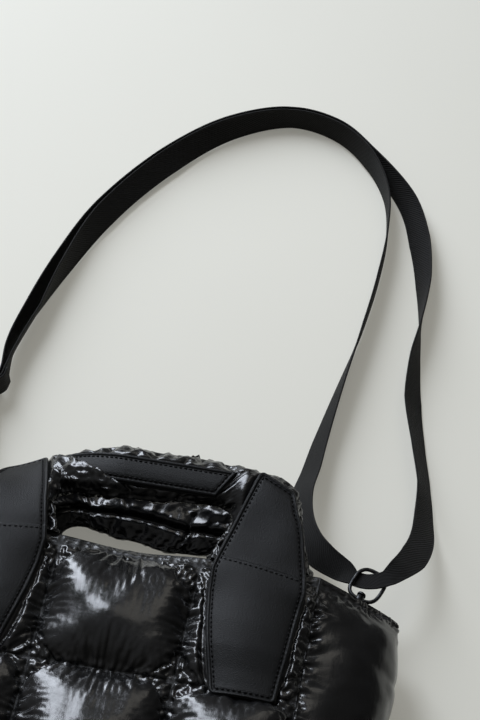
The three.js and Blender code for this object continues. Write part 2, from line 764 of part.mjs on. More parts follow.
// Slider: a plate with two slots, standing on one edge
function strapSlider() {
  const length = 2 * (sliderBar.half + sliderBar.slot + sliderBar.side);
  const plate = new THREE.BoxGeometry(length, sliderBar.height, sliderBar.thick);
  plate.translate(0, sliderBar.height / 2, 0);
  let body = toManifold(plate);
  for (const side of [-1, 1]) {
    const slot = new THREE.BoxGeometry(sliderBar.slot, sliderBar.opening, 2 * sliderBar.thick);
    slot.translate(side * (sliderBar.half + sliderBar.slot / 2), slider.rise + strapWidth / 2, 0);
    body = body.subtract(toManifold(slot));
  }
  const along = V(...slider.along, 0).normalize();
  const geometry = fromManifold(body);
  geometry.applyMatrix4(new THREE.Matrix4().makeBasis(along, up, along.clone().cross(up)));
  geometry.translate(...slider.at, 0);
  return geometry;
}

addPiece('front_panel', frontPanel(), 'nylon');
addPiece('back_panel', backPanel(), 'nylon');
addPiece('base_panel', basePanel(), 'nylon');
addPiece('front_handle', handle(frontPlace), 'nylon');
addPiece('back_handle', handle(backPlace, backHoleShare), 'nylon');
addPiece('front_grip', frontGrip(), 'leather');
addPiece('back_grip', backGrip(), 'leather');

const frames = {};
for (const [name, side, place] of [['left', -1, leftEye], ['right', 1, rightEye]]) {
  addPiece(`gusset_${name}`, gusset(side), 'nylon');
  addPiece(`front_tab_${name}`, frontTab(side), 'leather');
  addPiece(`back_tab_${name}`, backTab(side), 'leather');
  const frame = eyeFrame(place);
  addPiece(`strap_eye_${name}`, strapEye(), 'gunmetal', frame);
  addPiece(`strap_hook_${name}`, strapHook(), 'gunmetal', frame);
  addPiece(`side_loop_${name}`, sideLoopBand(), 'nylon', frame);
  bag.add(frame);
  frames[name] = frame;
}

addPiece('strap', strap(frames.right, frames.left), 'webbing');
addPiece('strap_slider', strapSlider(), 'gunmetal');

export default bag;
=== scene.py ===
import bpy
import numpy as np
from mathutils import Matrix, Vector


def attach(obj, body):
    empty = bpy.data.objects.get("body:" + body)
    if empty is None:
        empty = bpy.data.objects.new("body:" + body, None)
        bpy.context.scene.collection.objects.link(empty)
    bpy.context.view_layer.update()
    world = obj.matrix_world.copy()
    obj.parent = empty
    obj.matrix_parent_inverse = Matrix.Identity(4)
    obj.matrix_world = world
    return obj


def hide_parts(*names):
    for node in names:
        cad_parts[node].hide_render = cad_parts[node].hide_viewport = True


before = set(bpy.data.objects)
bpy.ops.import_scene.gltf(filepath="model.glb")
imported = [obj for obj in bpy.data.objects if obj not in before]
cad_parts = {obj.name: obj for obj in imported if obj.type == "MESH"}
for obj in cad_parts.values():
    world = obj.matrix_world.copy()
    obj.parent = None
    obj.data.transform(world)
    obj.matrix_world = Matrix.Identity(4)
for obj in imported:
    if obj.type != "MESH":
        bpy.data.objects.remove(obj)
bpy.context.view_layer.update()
mm = 0.001
skyward = np.array([0.0, 0, 1])
bothSides = {"right": 1, "left": -1}
noiseSize = 256
dice = np.random.default_rng(11)
noiseTable = dice.uniform(-1, 1, (noiseSize, noiseSize))


def mix(a, b, t):
    return a + (b - a) * t


def ease(t):
    t = np.clip(t, 0, 1)
    return t * t * (3 - 2 * t)


def bell(t):
    return np.exp(-t ** 2)


def unit(v):
    return v / np.maximum(np.linalg.norm(v, axis=-1, keepdims=True), 1e-9)


def vec(x, y, z):
    return np.stack(np.broadcast_arrays(x, y, z), axis=-1).astype(float)


def fullTurn(steps):
    return np.linspace(0, 2 * np.pi, steps, endpoint=False)


# Distance run along a path, at each of its points
def runAlong(path):
    return np.concatenate([[0], np.cumsum(np.linalg.norm(np.diff(path, axis=0), axis=-1))])


# Cubic from one row to the next, with the slopes that it leaves and arrives with
def cubicBetween(here, after, leave, arrive, f):
    cubic = 2 * here - 2 * after + leave + arrive
    square = 3 * after - 3 * here - 2 * leave - arrive
    return ((cubic * f + square) * f + leave) * f + here


# Smooth noise: seeded values at whole numbers, eased between them both ways
def noise(x, y):
    x, y = np.broadcast_arrays(np.asarray(x, float), np.asarray(y, float))
    i, j = np.floor(x).astype(int), np.floor(y).astype(int)
    fx, fy = ease(x - i), ease(y - j)
    def corner(a, b):
        return noiseTable[(i + a) % noiseSize, (j + b) % noiseSize]
    return mix(mix(corner(0, 0), corner(1, 0), fx), mix(corner(0, 1), corner(1, 1), fx), fy)


# Noise folded at zero into sharp creases, about zero on average
def creased(x, y):
    return 2 * np.abs(noise(x, y)) - 0.66


# Normals of a grid: cross product of the steps along its two directions
def gridNormals(points):
    return unit(np.cross(np.gradient(points, axis=0), np.gradient(points, axis=1)))


# Quads of a grid of rows by columns, joined round its second direction for a tube
def gridQuads(rows, columns, tube=False, start=0):
    index = start + np.arange(rows * columns).reshape(rows, columns)
    if tube:
        index = np.concatenate([index, index[:, :1]], axis=1)
    corners = [index[:-1, :-1], index[1:, :-1], index[1:, 1:], index[:-1, 1:]]
    return np.stack(corners, axis=-1).reshape(-1, 4)


# Volume inside a closed set of faces, negative where they point inwards
def volumeInside(points, faces):
    fans = [[(f[0], f[k], f[k + 1]) for k in range(1, len(f) - 1)] for f in faces]
    corners = points[np.concatenate(fans)]
    return np.einsum("ij,ij->i", corners[:, 0], np.cross(corners[:, 1], corners[:, 2])).sum()


# Fills a mesh from points in millimetres and faces, smooth shaded.
# A UV and a share of crease, which dulls the cloth and paints shade into it, may be given for each point
def makePiece(name, points, faces, uvs=None, closed=True, crease=None):
    points = np.asarray(points).reshape(-1, 3)
    faces = [list(map(int, f)) for f in faces]
    if closed and volumeInside(points, faces) < 0:
        faces = [f[::-1] for f in faces]
    mesh = bpy.data.meshes.new(name)
    mesh.from_pydata((points * mm).tolist(), [], faces)
    if uvs is not None:
        loops = np.empty(len(mesh.loops), int)
        mesh.loops.foreach_get("vertex_index", loops)
        layer = mesh.uv_layers.new(name="UVMap")
        layer.data.foreach_set("uv", np.asarray(uvs).reshape(-1, 2)[loops].ravel())
    if crease is not None:
        mark = mesh.attributes.new("crease", "FLOAT", "POINT")
        mark.data.foreach_set("value", np.asarray(crease, float).ravel())
    mesh.polygons.foreach_set("use_smooth", np.ones(len(mesh.polygons), bool))
    mesh.update()
    piece = bpy.data.objects.new(name, mesh)
    bpy.context.scene.collection.objects.link(piece)
    return piece


# A closed wall: an outer grid, an inner grid and the strip round their rim
def shell(outer, inner):
    rows, columns = outer.shape[:2]
    count = rows * columns
    front = gridQuads(rows, columns)
    back = gridQuads(rows, columns, start=count)[:, ::-1]
    index = np.arange(count).reshape(rows, columns)
    rim = np.concatenate([index[:, 0], index[-1, 1:], index[-2::-1, -1], index[0, -2:0:-1]])
    ahead = np.roll(rim, -1)
    side = np.stack([rim, rim + count, ahead + count, ahead], axis=-1)[:, ::-1]
    points = np.concatenate([outer.reshape(-1, 3), inner.reshape(-1, 3)])
    return points, np.concatenate([front, back, side])


# A tube of rings, closed by a face at each end
def cappedTube(rings):
    rows, sides = rings.shape[:2]
    faces = [list(f) for f in gridQuads(rows, sides, tube=True)]
    last = (rows - 1) * sides
    faces.append(list(range(sides)))
    faces.append(list(range(last + sides - 1, last - 1, -1)))
    return rings.reshape(-1, 3), faces


# A tube whose last ring joins its first
def closedTube(rings):
    rows, sides = rings.shape[:2]
    return rings.reshape(-1, 3), gridQuads(rows + 1, sides, tube=True) % (rows * sides)


# Several bodies as one list of points and faces
def joined(parts):
    points, faces, start = [], [], 0
    for partPoints, partFaces in parts:
        points.append(np.asarray(partPoints).reshape(-1, 3))
        faces += [[start + int(k) for k in f] for f in partFaces]
        start += len(points[-1])
    return np.concatenate(points), faces


# Camera and light: the view looks down at the bag from its lower end, a little from its left
view = {"place": (170.5, -492.7, 1171.2), "tilt": 32.65, "turn": 10.5, "focal": 1900, "long": 720,
        "sensor": 36, "clip": (0.05, 20)}


def addCamera():
    tilt, turn = np.radians(view["tilt"]), np.radians(view["turn"])
    right = Vector((np.cos(turn), np.sin(turn), 0))
    ahead = Vector((-np.sin(turn), np.cos(turn), 0))
    up = np.cos(tilt) * ahead + np.sin(tilt) * Vector((0, 0, 1))
    back = right.cross(up)
    camera = bpy.data.objects.new("camera", bpy.data.cameras.new("camera"))
    bpy.context.scene.collection.objects.link(camera)
    camera.data.sensor_width = view["sensor"]
    camera.data.lens = view["focal"] / view["long"] * view["sensor"]
    camera.data.clip_start, camera.data.clip_end = view["clip"]
    turned = Matrix((right, up, back)).transposed()
    camera.matrix_world = Matrix.Translation(Vector(view["place"]) * mm) @ turned.to_4x4()
    bpy.context.scene.camera = camera


lamps = [
    {"name": "window", "at": (-990, 1540, 1210), "aim": (0, 40, 20), "size": (0.75, 2.0), "watts": 54,
     "colour": (0.84, 0.90, 1.0)},
    {"name": "ceilingGlow", "at": (430, 1400, 1690), "aim": (40, 0, 60), "size": (0.5, 1.4), "watts": 2.3,
     "colour": (1.0, 0.95, 0.85)},
]
# the surroundings brighten towards the window's side of the ceiling
sky = {"towards": (-0.45, 0.35, 0.82), "dark": (0.05, 0.05, 0.048), "middle": (0.10, 0.098, 0.093),
       "pale": (0.26, 0.265, 0.27), "middleAt": 0.45}


def addLights():
    for lamp in lamps:
        light = bpy.data.lights.new(lamp["name"], "AREA")
        light.shape = "RECTANGLE"
        light.size, light.size_y = lamp["size"]
        light.energy, light.color = lamp["watts"], lamp["colour"]
        holder = bpy.data.objects.new(lamp["name"], light)
        bpy.context.scene.collection.objects.link(holder)
        at = Vector(lamp["at"]) * mm
        turned = (Vector(lamp["aim"]) * mm - at).to_track_quat("-Z", "Y").to_matrix()
        holder.matrix_world = Matrix.Translation(at) @ turned.to_4x4()
    world = bpy.data.worlds.new("studio")
    bpy.context.scene.world = world
    world.use_nodes = True
    nodes, links = world.node_tree.nodes, world.node_tree.links
    place = nodes.new("ShaderNodeTexCoord")
    facing = nodes.new("ShaderNodeVectorMath")
    facing.operation = "DOT_PRODUCT"
    facing.inputs[1].default_value = sky["towards"]
    ramp = nodes.new("ShaderNodeValToRGB")
    ramp.color_ramp.elements.new(sky["middleAt"])
    for stop, name in zip(ramp.color_ramp.elements, ("dark", "middle", "pale")):
        stop.color = (*sky[name], 1)
    links.new(place.outputs["Generated"], facing.inputs[0])
    links.new(facing.outputs["Value"], ramp.inputs[0])
    links.new(ramp.outputs[0], nodes["Background"].inputs["Color"])
    bpy.context.scene.view_settings.view_transform = "Standard"


# Wraps a socket, so that a sum written in Python adds Math nodes
class Term:
    def __init__(self, kit, socket):
        self.kit, self.socket = kit, socket

    def out(self, name):
        return Term(self.kit, self.socket.node.outputs[name])

    def sum(self, operation, *terms):
        return self.kit.node("ShaderNodeMath", {"operation": operation}, dict(enumerate(terms)))

    def __add__(self, other):
        return self.sum("ADD", self, other)

    def __radd__(self, other):
        return self.sum("ADD", other, self)

    def __sub__(self, other):
        return self.sum("SUBTRACT", self, other)

    def __rsub__(self, other):
        return self.sum("SUBTRACT", other, self)

    def __mul__(self, other):
        return self.sum("MULTIPLY", self, other)

    def __rmul__(self, other):
        return self.sum("MULTIPLY", other, self)

    def __abs__(self):
        return self.sum("ABSOLUTE", self)

    def wave(self):
        return self.sum("SINE", self)

    def clipped(self):
        return self.sum("MINIMUM", self.sum("MAXIMUM", self, 0.0), 1.0)


# One material: nodes by type, settings and sockets, ending in its Principled shader.
# Clouds come as scale, detail, roughness and bend, reliefs as depth and strength
class Finish:
    def __init__(self, name, fixed):
        self.material = bpy.data.materials.new(name)
        self.material.use_nodes = True
        self.tree = self.material.node_tree
        self.shader = self.tree.nodes["Principled BSDF"]
        for socket, value in fixed.items():
            self.shader.inputs[socket].default_value = value

    def node(self, kind, settings=None, sockets=None):
        made = self.tree.nodes.new(kind)
        for name, value in (settings or {}).items():
            setattr(made, name, value)
        for name, value in (sockets or {}).items():
            if isinstance(value, Term):
                self.tree.links.new(value.socket, made.inputs[name])
            else:
                made.inputs[name].default_value = value
        return Term(self, next(s for s in made.outputs if s.enabled))

    def place(self):
        return self.node("ShaderNodeTexCoord").out("Object")

    def clouds(self, where, scale, detail=3.0, rough=0.55, bend=0.0):
        return self.node("ShaderNodeTexNoise", None, {
            "Vector": where, "Scale": scale, "Detail": detail, "Roughness": rough, "Distortion": bend})

    def cells(self, where, scale, feature):
        return self.node("ShaderNodeTexVoronoi", {"feature": feature}, {"Vector": where, "Scale": scale})

    def blend(self, share, first, second):
        mixed = self.node("ShaderNodeMix", {"data_type": "RGBA"}, {0: share})
        for socket, colour in ((6, first), (7, second)):
            mixed.socket.node.inputs[socket].default_value = (*colour, 1)
        return mixed.out(2)

    def relief(self, height, depth, strength, under=None):
        sockets = {"Height": height, "Distance": depth * mm, "Strength": strength}
        if under:
            sockets["Normal"] = under
        return self.node("ShaderNodeBump", None, sockets)

    def feed(self, socket, term):
        self.tree.links.new(term.socket, self.shader.inputs[socket])


# Glossy nylon: near black under a clear coat, with fine crinkles and soft dents that break up reflections
nylon = {"dark": (0.0024, 0.0024, 0.0027), "pale": (0.0055, 0.0055, 0.006), "toneClouds": (60, 4.0),
         "gloss": 0.15, "spread": 0.14, "spreadClouds": (300, 4.0, 0.6), "crinkleMatt": 0.2,
         "creaseMatt": 0.5, "coat": 0.05, "coatSpread": 0.35, "coatClouds": (90, 3.0),
         "dentClouds": (130, 2.0, 0.5, 0.6), "dents": (0.4, 0.5),
         "streakTurn": 1.05, "streakScale": (820, 170, 420), "streakClouds": (1, 3.0, 0.6, 0.8),
         "streaks": (0.09, 0.7), "crinkleClouds": (420, 4.0, 0.62, 1.2), "crinkles": (0.12, 0.7),
         "weaveClouds": (2600, 1.0), "weave": (0.015, 0.5)}


def nylonFinish(name):
    skin = Finish(name, {"IOR": 1.5, "Coat Roughness": 0.1, "Coat IOR": 1.45, "Sheen Weight": 0.02})
    at = skin.place()
    slanted = skin.node("ShaderNodeMapping", None, {
        "Vector": at, "Rotation": (0, 0, nylon["streakTurn"]), "Scale": nylon["streakScale"]})
    dents = skin.clouds(at, *nylon["dentClouds"])
    streaks = skin.clouds(slanted, *nylon["streakClouds"])
    crinkles = abs(skin.clouds(at, *nylon["crinkleClouds"]) - 0.5)
    weave = skin.clouds(at, *nylon["weaveClouds"])
    # sewn seams and the hem are dull, and their base colour is painted darker: painted shade in the seam
    # valleys
    smooth = 1 - skin.node("ShaderNodeAttribute", {"attribute_name": "crease"}).out("Fac")
    tone = skin.clouds(at, *nylon["toneClouds"]) * smooth
    # the tone falls to the darkest nylon where the crease share is full: painted shade
    skin.feed("Base Color", skin.blend(tone, nylon["dark"], nylon["pale"]))
    gloss = nylon["gloss"] + nylon["spread"] * skin.clouds(at, *nylon["spreadClouds"])
    gloss = gloss + nylon["crinkleMatt"] * crinkles
    skin.feed("Roughness", gloss + nylon["creaseMatt"] * (1 - smooth))
    coat = nylon["coat"] + nylon["coatSpread"] * skin.clouds(at, *nylon["coatClouds"])
    skin.feed("Coat Weight", coat * smooth)
    bumps = skin.relief(dents, *nylon["dents"])
    bumps = skin.relief(streaks, *nylon["streaks"], bumps)
    bumps = skin.relief(crinkles, *nylon["crinkles"], bumps)
    skin.feed("Normal", skin.relief(weave, *nylon["weave"], bumps))
    return skin.material


# Satin leather: pebbled grain from small cells, pores, and paler rubbed patches
leather = {"dark": (0.0018, 0.0019, 0.002), "rubbed": (0.0048, 0.005, 0.0052), "wearClouds": (45, 5.0, 0.6),
           "wearShare": 1.4, "wearFrom": 0.7, "gloss": 0.33, "wearMatt": 0.14, "poreMatt": 0.16,
           "grainScale": 1500, "grain": (0.2, 0.8), "poreClouds": (3200, 2.0, 0.7), "pores": (0.1, 0.5),
           "creaseScale": 620, "creaseSharp": 8, "creases": (0.03, 0.4)}


def leatherFinish(name):
    hide = Finish(name, {
        "IOR": 1.48, "Specular IOR Level": 0.2, "Sheen Weight": 0.01, "Sheen Roughness": 0.4})
    at = hide.place()
    grain = hide.cells(at, leather["grainScale"], "SMOOTH_F1")
    creases = hide.cells(at, leather["creaseScale"], "DISTANCE_TO_EDGE")
    pores = hide.clouds(at, *leather["poreClouds"])
    wear = hide.clouds(at, *leather["wearClouds"])
    rubbed = (wear * leather["wearShare"] + pores - leather["wearFrom"]).clipped()
    hide.feed("Base Color", hide.blend(rubbed, leather["dark"], leather["rubbed"]))
    hide.feed("Roughness", leather["gloss"] + leather["wearMatt"] * wear + leather["poreMatt"] * pores)
    bumps = hide.relief(grain, *leather["grain"])
    bumps = hide.relief(pores, *leather["pores"], bumps)
    lines = (creases * leather["creaseSharp"]).clipped()
    hide.feed("Normal", hide.relief(lines, *leather["creases"], bumps))
    return hide.material


# Matt twill webbing: slanting ribs on both faces from the strap's own lengths, with plain selvedges
webbing = {"dark": (0.0032, 0.003, 0.0027), "pale": (0.011, 0.0106, 0.0097), "ribShade": 0.5,
           "fuzzShade": 0.7, "edgeShade": 0.2, "shadeFrom": 0.25, "gloss": 0.62, "fuzzMatt": 0.25,
           "rib": 2.3, "slant": 1.15, "width": 0.02, "yarns": 26, "yarnShare": 0.2, "selvedge": 0.07,
           "edgeSharp": 60, "edgeRise": 1.15, "relief": (0.42, 0.75), "fuzzClouds": (1900, 4.0, 0.7),
           "fuzz": (0.06, 0.6)}


def webbingFinish(name):
    tape = Finish(name, {
        "IOR": 1.4, "Specular IOR Level": 0.3, "Sheen Weight": 0.03, "Sheen Roughness": 0.5})
    split = tape.node("ShaderNodeSeparateXYZ", None, {0: tape.node("ShaderNodeUVMap")})
    along, across = split.out("X"), split.out("Y")
    turns = 2 * np.pi / (webbing["rib"] * mm)
    ribs = ((along + webbing["slant"] * webbing["width"] * across) * turns).wave() * 0.5 + 0.5
    yarns = (across * (2 * np.pi * webbing["yarns"])).wave() * 0.5 + 0.5
    edge = ((abs(across - 0.5) - (0.5 - webbing["selvedge"])) * webbing["edgeSharp"]).clipped()
    woven = ribs * (1 - edge) * (1 - webbing["yarnShare"] + webbing["yarnShare"] * yarns)
    fuzz = tape.clouds(tape.place(), *webbing["fuzzClouds"])
    shade = ribs * webbing["ribShade"] + fuzz * webbing["fuzzShade"] - webbing["shadeFrom"]
    shade = (shade + edge * webbing["edgeShade"]).clipped()
    tape.feed("Base Color", tape.blend(shade, webbing["dark"], webbing["pale"]))
    tape.feed("Roughness", webbing["gloss"] + webbing["fuzzMatt"] * fuzz)
    bumps = tape.relief(woven + edge * webbing["edgeRise"], *webbing["relief"])
    tape.feed("Normal", tape.relief(fuzz, *webbing["fuzz"], bumps))
    return tape.material


# Thread: matt black, darker than the leather it is sewn through
thread = {"dark": (0.0012, 0.0012, 0.0012), "pale": (0.0035, 0.0035, 0.0036), "strandClouds": (2400, 2.0),
          "gloss": 0.55, "strandMatt": 0.2, "twist": (0.05, 1.0)}


def threadFinish(name):
    cord = Finish(name, {"IOR": 1.45, "Specular IOR Level": 0.2})
    strands = cord.clouds(cord.place(), *thread["strandClouds"])
    cord.feed("Base Color", cord.blend(strands, thread["dark"], thread["pale"]))
    cord.feed("Roughness", thread["gloss"] + thread["strandMatt"] * strands)
    cord.feed("Normal", cord.relief(strands, *thread["twist"]))
    return cord.material


# Gunmetal: dark plated metal, clouded, with scratched and rubbed places
gunmetal = {"dark": (0.030, 0.031, 0.033), "rubbed": (0.13, 0.128, 0.122), "clouds": (240, 5.0, 0.65),
            "wornFrom": 0.52, "wornSharp": 4, "gloss": 0.24, "cloudMatt": 0.22,
            "scratchClouds": (1400, 3.0, 0.6, 3.0), "scratches": (0.02, 0.6)}


def gunmetalFinish(name):
    plate = Finish(name, {"Metallic": 1.0})
    at = plate.place()
    clouding = plate.clouds(at, *gunmetal["clouds"])
    scratches = plate.clouds(at, *gunmetal["scratchClouds"])
    worn = ((clouding - gunmetal["wornFrom"]) * gunmetal["wornSharp"]).clipped()
    plate.feed("Base Color", plate.blend(worn, gunmetal["dark"], gunmetal["rubbed"]))
    plate.feed("Roughness", gunmetal["gloss"] + gunmetal["cloudMatt"] * clouding)
    plate.feed("Normal", plate.relief(scratches, *gunmetal["scratches"]))
    return plate.material


# Pale plaster floor, faintly clouded. A glow round the bag stands for light from all over the room
floor = {"half": 6000, "level": -0.2, "shade": (0.61, 0.597, 0.535), "pale": (0.645, 0.632, 0.57),
         "clouds": (3.5, 4.0), "gloss": 0.55, "cloudMatt": 0.1, "grainClouds": (420, 3.0),
         "grain": (0.03, 0.3), "glow": (0.205, 0.202, 0.182), "glowReach": 0.35, "glowFade": 1.2}


def floorFinish(name):
    plaster = Finish(name, {"Specular IOR Level": 0.2, "Emission Strength": 1.0})
    at = plaster.place()
    cloud = plaster.clouds(at, *floor["clouds"])
    plaster.feed("Base Color", plaster.blend(cloud, floor["shade"], floor["pale"]))
    distance = plaster.node("ShaderNodeVectorMath", {"operation": "LENGTH"}, {0: at})
    fade = ((distance - floor["glowReach"]) * (1 / floor["glowFade"])).clipped()
    plaster.feed("Emission Color", plaster.blend(fade, floor["glow"], (0, 0, 0)))
    plaster.feed("Roughness", floor["gloss"] + floor["cloudMatt"] * cloud)
    grain = plaster.clouds(at, *floor["grainClouds"])
    plaster.feed("Normal", plaster.relief(grain, *floor["grain"]))
    return plaster.material


def addFloor():
    half = floor["half"]
    x, y = np.array([-half, half, half, -half]), np.array([-half, -half, half, half])
    ground = makePiece("floor", vec(x, y, floor["level"]), [[0, 1, 2, 3]], closed=False)
    ground.data.materials.append(floorFinish("plaster"))


finishes = {
    "quilted_nylon": nylonFinish("glossyNylon"),
    "tab_leather": leatherFinish("satinLeather"),
    "strap_webbing": webbingFinish("twillWebbing"),
    "thread": threadFinish("waxedThread"),
    "gunmetal": gunmetalFinish("gunmetal"),
}


# Hands a piece over: its finish, by its slot's name unless given, its body and the node that it replaces
def hand(piece, node, slotName, finish=None):
    piece.data.materials.append(finishes[finish or slotName])
    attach(piece, "root")
    if node:
        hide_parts(node)


addCamera()
addLights()
addFloor()
print("camera, lights and floor")

# Cloth: a grid of points is swollen by pressure, its seams held, its cloth cut wider than its seams
cloth = {"scale": 20, "mass": 0.004, "tension": 12, "shear": 6, "bending": 0.01, "air": 1.0, "steps": 26,
         "quality": 5, "gatherReach": 11, "levels": 10}


def puffUp(points, held, away, spare, pressure, tube=False):
    rows, columns = points.shape[:2]
    grow, levels = cloth["scale"], cloth["levels"]
    sheet = makePiece("sheet", points * grow, gridQuads(rows, columns, tube), closed=False)
    group = sheet.vertex_groups.new(name="seams")
    group.add(np.flatnonzero(held.ravel()).tolist(), 1.0, "REPLACE")
    loose = sheet.vertex_groups.new(name="gathered")
    share = np.round(bell(away.ravel() / cloth["gatherReach"]) * levels).astype(int)
    for level in range(1, levels + 1):
        loose.add(np.flatnonzero(share == level).tolist(), level / levels, "REPLACE")
    swell = sheet.modifiers.new("swell", "CLOTH")
    settings = swell.settings
    settings.quality = cloth["quality"]
    settings.mass = cloth["mass"]
    settings.tension_stiffness = settings.compression_stiffness = cloth["tension"]
    settings.shear_stiffness = cloth["shear"]
    settings.bending_stiffness = cloth["bending"]
    settings.air_damping = cloth["air"]
    settings.shrink_min, settings.shrink_max = -spare[0], -spare[1]
    settings.vertex_group_shrink = "gathered"
    settings.use_pressure = True
    settings.uniform_pressure_force = pressure
    settings.vertex_group_mass = "seams"
    settings.effector_weights.gravity = 0
    swell.collision_settings.use_collision = False
    swell.point_cache.frame_end = cloth["steps"]
    for step in range(1, cloth["steps"] + 1):
        bpy.context.scene.frame_set(step)
    swollen = sheet.evaluated_get(bpy.context.evaluated_depsgraph_get())
    spots = np.empty(rows * columns * 3)
    swollen.data.vertices.foreach_get("co", spots)
    bpy.context.scene.frame_set(1)
    mesh = sheet.data
    bpy.data.objects.remove(sheet)
    bpy.data.meshes.remove(mesh)
    return spots.reshape(rows, columns, 3) / (grow * mm)


# Gathers beside a seam: creased noise drawn out across its run, fine close by and broad further off.
# The folds lean one way and then the other, and they reach out unevenly
pucker = {"fine": 0.95, "finePitch": 3.1, "fineLength": 7, "near": 5.5, "broad": 1.25, "broadPitch": 6.2,
          "broadLength": 15, "far": 10, "farMean": 0.8, "farSpread": 0.8, "farPitch": 11.7, "farLeast": 3,
          "farPower": 1.6, "start": 1.3, "lean": 0.7, "leanPitch": 17, "jitter": 1.3, "jitterPitch": 6.3,
          "blend": 1.5}


def puckers(along, away, seed, share=1):
    away = away / share
    place = along + pucker["lean"] * away * noise(along / pucker["leanPitch"] + seed, 1.7)
    place = place + pucker["jitter"] * noise(along / pucker["jitterPitch"] + 2 * seed, 7.7)
    fine = creased(place / pucker["finePitch"] + 7 * seed, away / pucker["fineLength"] + seed)
    broad = -creased(place / pucker["broadPitch"] + 3 * seed, away / pucker["broadLength"] + 2 * seed)
    uneven = pucker["farMean"] + pucker["farSpread"] * noise(along / pucker["farPitch"] + 3 * seed, 4.1)
    reach = np.maximum(pucker["farLeast"], pucker["far"] * uneven)
    farShare = np.exp(-(away / reach) ** pucker["farPower"])
    folds = pucker["fine"] * fine * bell(away / pucker["near"]) + pucker["broad"] * broad * farShare
    return ease(away / pucker["start"]) * folds


# Gathers of several seams, each strongest where it is the nearest
def allPuckers(families, share=1):
    weights = [1 / (beside + pucker["blend"]) ** 2 for _, beside, _ in families]
    gathered = sum(w * puckers(*family, share) for w, family in zip(weights, families))
    return gathered / sum(weights)


# Soft dents all over a cell, in two sizes, that die out at its seams
dent = {"deep": 1.0, "wide": 21, "small": 0.4, "narrow": 8.5, "start": 3, "full": 12}


def dents(families, away):
    a, b = families[0][0], families[1][0]
    large = dent["deep"] * noise(a / dent["wide"] + 3.7, b / dent["wide"] + families[0][2])
    little = dent["small"] * noise(a / dent["narrow"] + 9.1, b / dent["narrow"] + 5.3)
    return (large + little) * ease((away - dent["start"]) / dent["full"])


# Crumpled cloth: broad creases that lean one way and fine ones that lean the other way
def crumpled(a, b, recipe):
    wide, lean, high = recipe["pitch"]
    broad = creased(a / wide + b / lean, b / high + recipe["shift"])
    wide, lean, high = recipe["finePitch"]
    return broad + recipe["fineShare"] * creased(a / wide - b / lean, b / high)


# The lower of two heights, rounded where they cross
def softMin(a, b, radius=0.9):
    return -radius * np.logaddexp(-a / radius, -b / radius)


# Halves the steps of a grid: each new point lies on a cubic through its four neighbours
def halved(values, axis, ring=False):
    v = np.moveaxis(values, axis, 0)
    if ring:
        wide = np.concatenate([v[-1:], v, v[:2]])
    else:
        wide = np.concatenate([2 * v[:1] - v[1:2], v, 2 * v[-1:] - v[-2:-1]])
    between = (9 * (wide[1:-2] + wide[2:-1]) - wide[:-3] - wide[3:]) / 16
    merged = np.empty((len(v) + len(between), *v.shape[1:]))
    merged[::2], merged[1::2] = v, between
    return np.moveaxis(merged, 0, axis)


def finer(values, ring=False):
    return halved(halved(values, 0), 1, ring)


def midway(stops):
    merged = np.empty(2 * len(stops) - 1)
    merged[::2], merged[1::2] = stops, (stops[1:] + stops[:-1]) / 2
    return merged


# Stops along a line with a given count of steps between its breaks
def stopsBetween(breaks, counts):
    parts = [np.linspace(a, b, n, endpoint=False) for a, b, n in zip(breaks, breaks[1:], counts)]
    return np.concatenate(parts + [[breaks[-1]]])


# Distance from the nearest of some lines
def nearest(values, lines):
    return np.min([np.abs(values - line) for line in lines], axis=0)


# Big panels: flat faces of sewn cells
panel = {"halfTop": 123, "halfBottom": 121, "column": 46, "top": 45, "bottom": -135, "row": -45,
         "riseTop": 74, "riseBottom": 88, "gap": -0.3, "hem": 6.5, "hemShare": 0.45, "hemFade": 3,
         "hemDullShade": 0.35, "dullFrom": 1, "dullFade": 1.5, "sag": 3.5, "sagHalf": 50, "sagReach": 65,
         "curl": 4.2, "inside": 4, "even": 0, "spare": (0.09, 0.2), "pressure": 3.2, "dome": 5,
         "tallest": 17, "drift": 4, "gather": 1, "reach": 1, "dented": 1, "fill": 0.6,
         "columnSteps": [38, 46, 38], "rowSteps": [45, 42, 4]}
# every padded sheet's seams: half their thickness, the width of their crease, and the swelling beside them
seam = {"edge": 0.8, "crease": 1.2, "touch": 0.01, "domeReach": 40, "startGather": 0.5, "lowest": -1}


# Share of the way up the front panel
def upPanel(y):
    return (y - panel["bottom"]) / (panel["top"] - panel["bottom"])


def frontHeight(y):
    return mix(panel["riseBottom"], panel["riseTop"], upPanel(y))


# Front surface: x across, y up the panel, tilted so that the bottom stands higher than the mouth,
# whose edge sags and curls down between the handle's roots
def frontSheet(x, y):
    x = x * mix(panel["halfBottom"], panel["halfTop"], upPanel(y)) / panel["halfTop"]
    across = np.maximum(0, 1 - (x / panel["sagHalf"]) ** 2) ** 2
    sag = panel["sag"] * across * ease((y - panel["top"]) / panel["sagReach"] + 1)
    curl = panel["curl"] * across * ease((y - panel["top"]) / panel["hem"] + 1)
    return vec(x, y, frontHeight(y) - sag - curl)


